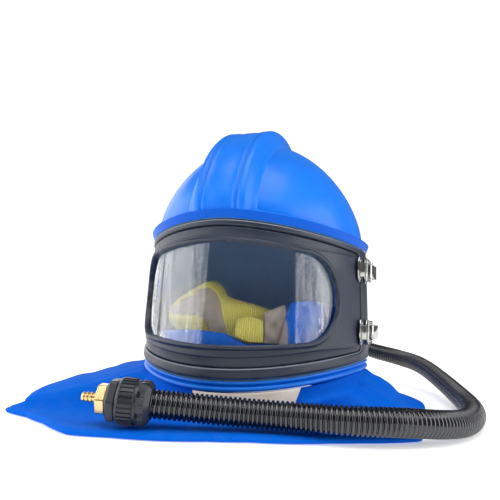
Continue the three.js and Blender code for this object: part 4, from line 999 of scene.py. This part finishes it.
CAPE_FOLDS = [
    # degrees, reach of the edge, place and height of the fold between neck and edge
    (-180, 1.0135, 0.35, 0.62), (-158, 0.98, 0.4, 0.7), (-135, 0.98, 0.35, 0.6), (-112, 0.948, 0.45, 0.7),
    (-100, 0.9, 0.62, 0.68), (-90, 0.887, 0.82, 0.7), (-74, 0.922, 0.87, 0.66), (-65, 0.978, 0.88, 0.6),
    (-60, 1.02, 0.92, 0.54), (-56, 1.065, 0.94, 0.5), (-52, 1.12, 0.92, 0.43), (-48, 1.19, 0.84, 0.36),
    (-42, 1.12, 0.3, 0.26), (-34, 1.081, 0.04, 0.2), (-22.3, 1.076, 0.04, 0.2), (-14.4, 0.99, 0.04, 0.2),
    (-5, 0.926, 0.04, 0.2), (6, 0.851, 0.04, 0.2), (16.5, 0.817, 0.04, 0.2), (28.7, 0.826, 0.04, 0.2),
    (38, 0.832, 0.04, 0.2), (46, 0.86, 0.05, 0.2), (61, 0.945, 0.12, 0.3), (66, 0.9, 0.25, 0.45),
    (80, 0.839, 0.5, 0.5), (90, 0.826, 0.57, 0.47), (100, 0.84, 0.55, 0.5), (117, 0.925, 0.4, 0.6),
    (135, 0.98, 0.35, 0.6), (158, 0.99, 0.4, 0.7), (180, 1.0135, 0.35, 0.62),
]


def table_row(table, degrees):
    """The values of a table's columns at an angle, between its rows."""
    for before, after in zip(table, table[1:]):
        if degrees <= after[0]:
            share = (degrees - before[0]) / (after[0] - before[0])
            return [low + (high - low) * share for low, high in zip(before[1:], after[1:])]
    return list(table[-1][1:])


def smooth_line(points, per_span):
    """A soft curve through points, with more points on it."""
    line = []
    guide = [2 * points[0] - points[1], *points, 2 * points[-1] - points[-2]]
    for before, start, end, after in zip(guide, guide[1:], guide[2:], guide[3:]):
        for step in range(per_span):
            t = step / per_span
            line.append(0.5 * (
                2 * start + (end - before) * t + (2 * before - 5 * start + 4 * end - after) * t ** 2
                + (3 * start - before - 3 * end + after) * t ** 3
            ))
    return [*line, points[-1]]


def cloth_uvs(rings, closed):
    """Measured layout: across along each ring, and along each column, in metres."""
    uvs = []
    columns = len(rings[0])
    across = [0.0] * len(rings)
    middle = columns // 2
    for ring in range(1, len(rings)):
        across[ring] = across[ring - 1] + (rings[ring][middle] - rings[ring - 1][middle]).length
    for ring, points in enumerate(rings):
        along = 0.0
        for column, point in enumerate(points):
            if column:
                along += (point - points[column - 1]).length
            uvs.append((across[ring], along))
    return uvs


def make_cloth(name, rings, finish, thickness=CLOTH, closed=True):
    """A cloth through rings, with its own measured layout."""
    points, faces = lattice(rings, around=False)
    piece = make_piece(
        name, points, faces, FINISHES[finish], sharp=0, uvs=cloth_uvs(rings, closed)
    )
    thicken(piece, thickness)
    return piece


def make_cape():
    hem = 0.007
    rings = []
    columns = 300
    for column in range(columns):
        degrees = -180 + 360 * column / columns
        angle = math.radians(degrees)
        reach, place, height = table_row(CAPE_FOLDS, degrees)
        neck_height = lower_line(RIM, angle) - 0.0008
        neck = wall_point(angle, neck_height, -0.010)
        start = math.hypot(neck.x, neck.y) + 0.0002
        edge = CAPE_REACH * reach - 0.001
        fold = start + (edge - start) * place
        fold_height = max(hem, neck_height * height) - 0.001
        first = Vector((start + (fold - start) * 0.3, neck_height + (fold_height - neck_height) * 0.35))
        second = Vector((start + (fold - start) * 0.6, neck_height + (fold_height - neck_height) * 0.66))
        band = smooth_step(degrees, 30, 40) * (1 - smooth_step(degrees, 80, 96))
        section = [
            Vector((start, neck_height)),
            first.lerp(Vector((start + 0.0020, neck_height - 0.0110)), band),
            second.lerp(Vector((start + 0.0062, neck_height - 0.0155)), band),
            Vector((fold, fold_height)),
            Vector((fold + (edge - fold) * 0.25, hem - 0.001 + (fold_height - hem) * 0.62)),
            Vector((fold + (edge - fold) * 0.5, hem - 0.001 + (fold_height - hem) * 0.3)),
            Vector((fold + (edge - fold) * 0.78, hem - 0.001 + (fold_height - hem) * 0.08)),
            Vector((edge - 0.0042, hem - 0.0012)),
            Vector((edge - 0.0012, hem - 0.0022)),
            Vector((edge, hem * 0.5)),
            Vector((edge - 0.0012, 0.0019)),
            Vector((edge - 0.0042, 0.0010)),
            Vector((edge - 0.016, 0.0010)),
            Vector((edge - 0.031, 0.0010)),
        ]
        line = smooth_line(section, 5)
        outward = Vector((math.sin(angle), -math.cos(angle), 0))
        ring = []
        busy = min(1, max(0, (abs(degrees - 4) - 58) / 30))
        for index, place_on in enumerate(line):
            share = index / (len(line) - 1)
            point = outward * place_on.x + Vector((0, 0, place_on.y))
            on_top = max(0, 1 - max(0, share - 0.42) / 0.1) * min(1, share / 0.06)
            soft = noise.noise(point * 16) * 0.006 + noise.noise(point * 38 + Vector((5, 2, 1))) * 0.0022
            gather = math.sin(angle * 31 + 2.2 * noise.noise(point * 9)) * 0.0016 * math.exp(-share * 7)
            lift = (soft * busy + gather * (0.3 + 0.7 * busy)) * on_top
            point.z = max(point.z + lift + 0.0004 * on_top * noise.noise(point * 60), 0.0009)
            ring.append(point)
        rings.append(ring)
    rings.append([point.copy() for point in rings[0]])
    cape = make_cloth("cape_cloth_sheet", rings, "cape")
    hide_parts("cape")


def make_bib():
    rings = []
    centre, half = math.radians(16), math.radians(23)
    columns, rows = 90, 22
    for column in range(columns + 1):
        across = column / columns
        angle = centre + half * (2 * across - 1)
        top = lower_line(RIM, angle) - 0.0008
        ring = []
        for row in range(rows + 1):
            share = row / rows
            height = top + (0.0088 - top) * share
            wave = 0.0006 * math.sin(angle * 22 + 1.3) * share
            wave += 0.0005 * noise.noise(Vector((angle * 9, share * 2, 0)))
            slant = math.radians(6) * share * across ** 3
            ring.append(wall_point(angle - slant, height, -0.0035 + 0.001 * share + wave))
        rings.append(ring)
    bib = make_cloth("bib_lining_cloth", rings, "lining", closed=False)
    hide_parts("bib_lining")


def inside_rings(rows, columns):
    rings = []
    for column in range(columns):
        angle = -math.pi + 2 * math.pi * column / columns
        section = [wall_point(angle, height, -reach) for reach, height in rows(angle)]
        rings.append(smooth_line(section, 6))
    rings.append([point.copy() for point in rings[0]])
    return rings


PUSH, RISE, LEAN = 0.049, 0.064, 0.018
KNIT_FOOT = 0.0766
COLLAR_BUNCHES = [
    # degrees, push of the blue cloth, rise of the knit's top edge and its lean, as shares of the most of each
    (-180, 0, 0.12, 0), (-135, 0.03, 0.16, 0), (-100, 0.12, 0.2, 0), (-78, 0.2, 0.3, 0.5),
    (-64, 0.23, 0.5, 1), (-50, 0.26, 0.66, 1), (-36, 0.29, 0.8, 0.7), (-24, 0.31, 0.97, 0.25),
    (-17, 0.33, 1, 0), (-11, 0.34, 0.92, 0), (-5, 0.34, 0.75, 0), (2, 0.32, 0.7, 0), (9, 0.2, 0.67, 0),
    (17, 0.08, 0.63, 0), (28, 0.08, 0.56, 0), (32, 0.1, 0.52, 0), (35, 0.62, 0.48, 0),
    (38, 0.95, 0.44, 0), (46, 1, 0.36, 0), (60, 1, 0.3, 0), (70, 0.9, 0.26, 0), (80, 0.62, 0.24, 0),
    (90, 0.3, 0.22, 0), (104, 0.06, 0.2, 0), (135, 0, 0.16, 0), (180, 0, 0.12, 0),
]


def collar_level(degrees):
    return 0.072 + PUSH * table_row(COLLAR_BUNCHES, degrees)[0]


def make_inner_collar():
    def rows(angle):
        push = PUSH * table_row(COLLAR_BUNCHES, math.degrees(angle))[0]
        low = lower_line(RIM, angle) + 0.0012
        around = Vector((math.sin(angle) * 2, math.cos(angle) * 2, 0))
        high = min(1, push / 0.02)
        pucker = 0.0012 * math.sin(19 * angle + 2.5 * noise.noise(around))
        pucker += 0.002 * high * noise.noise(around * 3)
        slack = 0.003 * noise.noise(around * 2.3) * high
        return [
            (0.0118, low), (0.0150, 0.050 + 0.3 * push), (0.0175 + pucker, 0.061 + 0.62 * push),
            (0.0200 + pucker, 0.0700 + 0.93 * push + slack), (0.0238, 0.0720 + push + slack),
            (0.0275 + pucker, 0.0730 + 0.75 * push), (0.0310, 0.0740 + 0.2 * push), (0.0345, 0.0742),
            (0.0420, 0.0743), (0.0494, 0.0745),
        ]

    collar = make_cloth("inner_collar_cloth", inside_rings(rows, 360), "collar")
    collar.data.materials.append(FINISHES["inner_lining"])
    for face in collar.data.polygons:
        degrees = math.degrees(math.atan2(face.center.x / HALF_WIDTH, -face.center.y / HALF_DEPTH))
        if 29.5 < degrees < 34.2 and face.center.z > 0.078:
            face.material_index = 1
    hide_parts("inner_collar")


def lining_mask(degrees, height, top):
    """Where the knit's mound opens and its lining shows: 0 on the knit, 1 on the lining."""
    left = smooth_step(degrees, -60, -54)
    right = 1 - smooth_step(degrees, -9 + 240 * (top - height), -6 + 240 * (top - height))
    under_rim = 1 - smooth_step(height, top - 0.0078, top - 0.0060)
    low = 0.026 * (1 - smooth_step(degrees, -24, -14))
    over_fold = smooth_step(height, low - 0.001, low + 0.0015) if low > 0 else 1
    return left * max(0, right) * under_rim * over_fold


def make_knit():
    """The knit stands up in a mound at the front left that shows its lining, and folds over beside it."""
    def rows(angle):
        degrees = math.degrees(angle)
        _, rise, lean = table_row(COLLAR_BUNCHES, degrees)
        foot, peak, lean = 0.0775, KNIT_FOOT + RISE * rise, LEAN * lean
        tall = peak - foot
        around = Vector((math.sin(angle) * 3, math.cos(angle) * 3, 0))
        crease = 0.0022 * noise.noise(around * 1.7)
        return [
            (0.0445, foot),
            (0.0418 - 0.35 * lean + crease, foot + 0.28 * tall),
            (0.0405 - 0.8 * lean - crease, foot + 0.6 * tall),
            (0.0430 - 0.95 * lean, foot + 0.84 * tall),
            (0.0490 - lean, peak - 0.0016),
            (0.0560 - lean, peak - 0.0008),
            (0.0615 - 0.9 * lean, peak - 0.006),
            (0.0635 - 0.6 * lean + crease, foot + 0.7 * tall),
        ]

    columns = 420
    rings = inside_rings(rows, columns)
    lined = []
    for ring, points in enumerate(rings):
        degrees = -180 + 360 * ring / columns
        top = RISE * table_row(COLLAR_BUNCHES, degrees)[1]
        crown = max(range(len(points)), key=lambda index: points[index].z)
        for index, point in enumerate(points):
            mask = lining_mask(degrees, point.z - KNIT_FOOT, top) if index <= crown else 0
            lined.append(mask)
            inward = Vector((-point.x, -point.y, 0)).normalized()
            soft = noise.noise(point * 42) + 0.45 * noise.noise(point * 90)
            roll = 0.0012 * noise.noise(point * 60)
            point += inward * (mask * (0.0052 + 0.0028 * soft) + roll * (1 - mask))
    knit = make_cloth("knit_collar_rib", rings, "knit", 0.0026)
    knit.data.materials.append(FINISHES["inner_lining"])
    for face in knit.data.polygons:
        if sum(lined[vertex] for vertex in face.vertices) > 2:
            face.material_index = 1
    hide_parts("knit_collar")
    folds = [
        make_flap("knit_collar_tip", "knit", 9.0, 23.0, tip_rows, 0.0024),
        make_flap("knit_collar_fold", "inner_lining", 24.0, 35.5, fold_rows, 0.0018),
    ]
    return knit


def tip_rows(degrees, share):
    """The knit's end, turned over towards the window."""
    low = max(0.0800, collar_level(degrees) + 0.0032)
    high = 0.1000 + 0.003 * math.sin(math.pi * share)
    return [
        (0.0400, high - 0.012), (0.0385, high - 0.004), (0.0345, high), (0.0290, high - 0.0006),
        (0.0245, high - 0.005), (0.0215, high - 0.011), (0.0200, low + 0.004), (0.0195, low),
    ]


def fold_rows(degrees, share):
    """A creased fold of the lining beside the blue cloth."""
    low = max(0.0790, collar_level(degrees) * 0.35 + 0.052)
    high = 0.1080 + 0.009 * share
    crease = 0.0016 * math.sin(9 * share + 1.0)
    return [
        (0.0375, high - 0.016), (0.0365, high - 0.004), (0.0325, high), (0.0285, high - 0.002),
        (0.0262 + crease, high - 0.009), (0.0268 - crease, high - 0.017),
        (0.0258 + crease, low + 0.006), (0.0262, low),
    ]


def make_flap(name, finish, start, end, rows, thickness):
    columns = 48
    rings = []
    for column in range(columns + 1):
        share = column / columns
        degrees = start + (end - start) * share
        angle = math.radians(degrees)
        section = [wall_point(angle, height, -reach) for reach, height in rows(degrees, share)]
        line = smooth_line(section, 6)
        inward = Vector((-math.sin(angle), math.cos(angle), 0))
        for point in line:
            point += inward * (0.0011 * noise.noise(point * 70) + 0.0011 * noise.noise(point * 34))
        rings.append(line)
    return make_cloth(name, rings, finish, thickness, closed=False)


# Floor and lights

def make_stage():
    mesh = bpy.data.meshes.new("floor")
    size = 6.0
    corners = [(-size, -size, 0), (size, -size, 0), (size, size, 0), (-size, size, 0)]
    mesh.from_pydata(corners, [], [(0, 1, 2, 3)])
    floor = bpy.data.objects.new("floor", mesh)
    bpy.context.scene.collection.objects.link(floor)
    material, nodes, shader = new_finish("floor", roughness=0.9)
    nodes.put(shader.inputs["Base Color"], (0.9, 0.9, 0.9))
    shader.inputs["Specular IOR Level"].default_value = 0.1
    place = nodes.read("TexCoord", "Object")
    away = nodes.add("ShaderNodeVectorMath", {0: place}, operation="LENGTH").outputs["Value"]
    glow = nodes.mix(nodes.ramp(away, 0.5, 1.6), (0.42, 0.42, 0.42), (1, 1, 1))
    nodes.put(shader.inputs["Emission Color"], glow)
    shader.inputs["Emission Strength"].default_value = 1.0
    mesh.materials.append(material)


def add_light(name, place, target, size, radiance):
    """A softbox of a size and surface brightness that faces a point."""
    light = bpy.data.lights.new(name, "AREA")
    light.shape = "RECTANGLE"
    light.size, light.size_y = size
    light.energy = radiance * math.pi * size[0] * size[1]
    lamp = bpy.data.objects.new(name, light)
    lamp.location = place
    lamp.rotation_euler = (Vector(target) - Vector(place)).to_track_quat("-Z", "Y").to_euler()
    bpy.context.scene.collection.objects.link(lamp)


def light_scene():
    world = bpy.data.worlds.new("studio")
    world.use_nodes = True
    nodes = Nodes(world.node_tree)
    seen = nodes.read("LightPath", "Is Camera Ray")
    backdrop = world.node_tree.nodes["Background"]
    nodes.put(backdrop.inputs["Color"], (1, 1, 1))
    nodes.put(backdrop.inputs["Strength"], nodes.ramp(seen, 0.0, 1.0, 0.16, 1.1))
    bpy.context.scene.world = world
    bpy.context.scene.view_settings.view_transform = "Standard"
    middle = (0, 0, 0.15)
    add_light("top_softbox", (0.2, -0.5, 1.6), middle, (1.5, 0.9), 3.5)
    add_light("front_strip", (0.25, -0.95, 1.2), middle, (1.7, 0.16), 4.5)
    add_light("left_softbox", (-1.18, -0.55, 0.5), middle, (1.8, 1.2), 2.4)
    add_light("back_left_softbox", (-1.05, 0.85, 0.5), middle, (1.5, 1.0), 1.4)
    add_light("right_softbox", (1.3, -0.04, 0.5), middle, (1.3, 1.2), 2.7)


place_camera()
hose, hose_path, hose_length = make_hose()
fittings = make_fittings()
make_inlet()
make_shell()
make_frames()
soften("hinge_leaf_fixed", "helmet")
soften("hinge_leaf_door", "door")
for level in ("upper", "lower"):
    soften(f"latch_base_{level}", "helmet")
    soften(f"keeper_{level}", "door")
    soften(f"latch_lever_{level}", f"lever_{level}")
    soften(f"latch_bail_{level}", f"bail_{level}")
make_cape()
make_bib()
make_inner_collar()
make_knit()
make_stage()
light_scene()
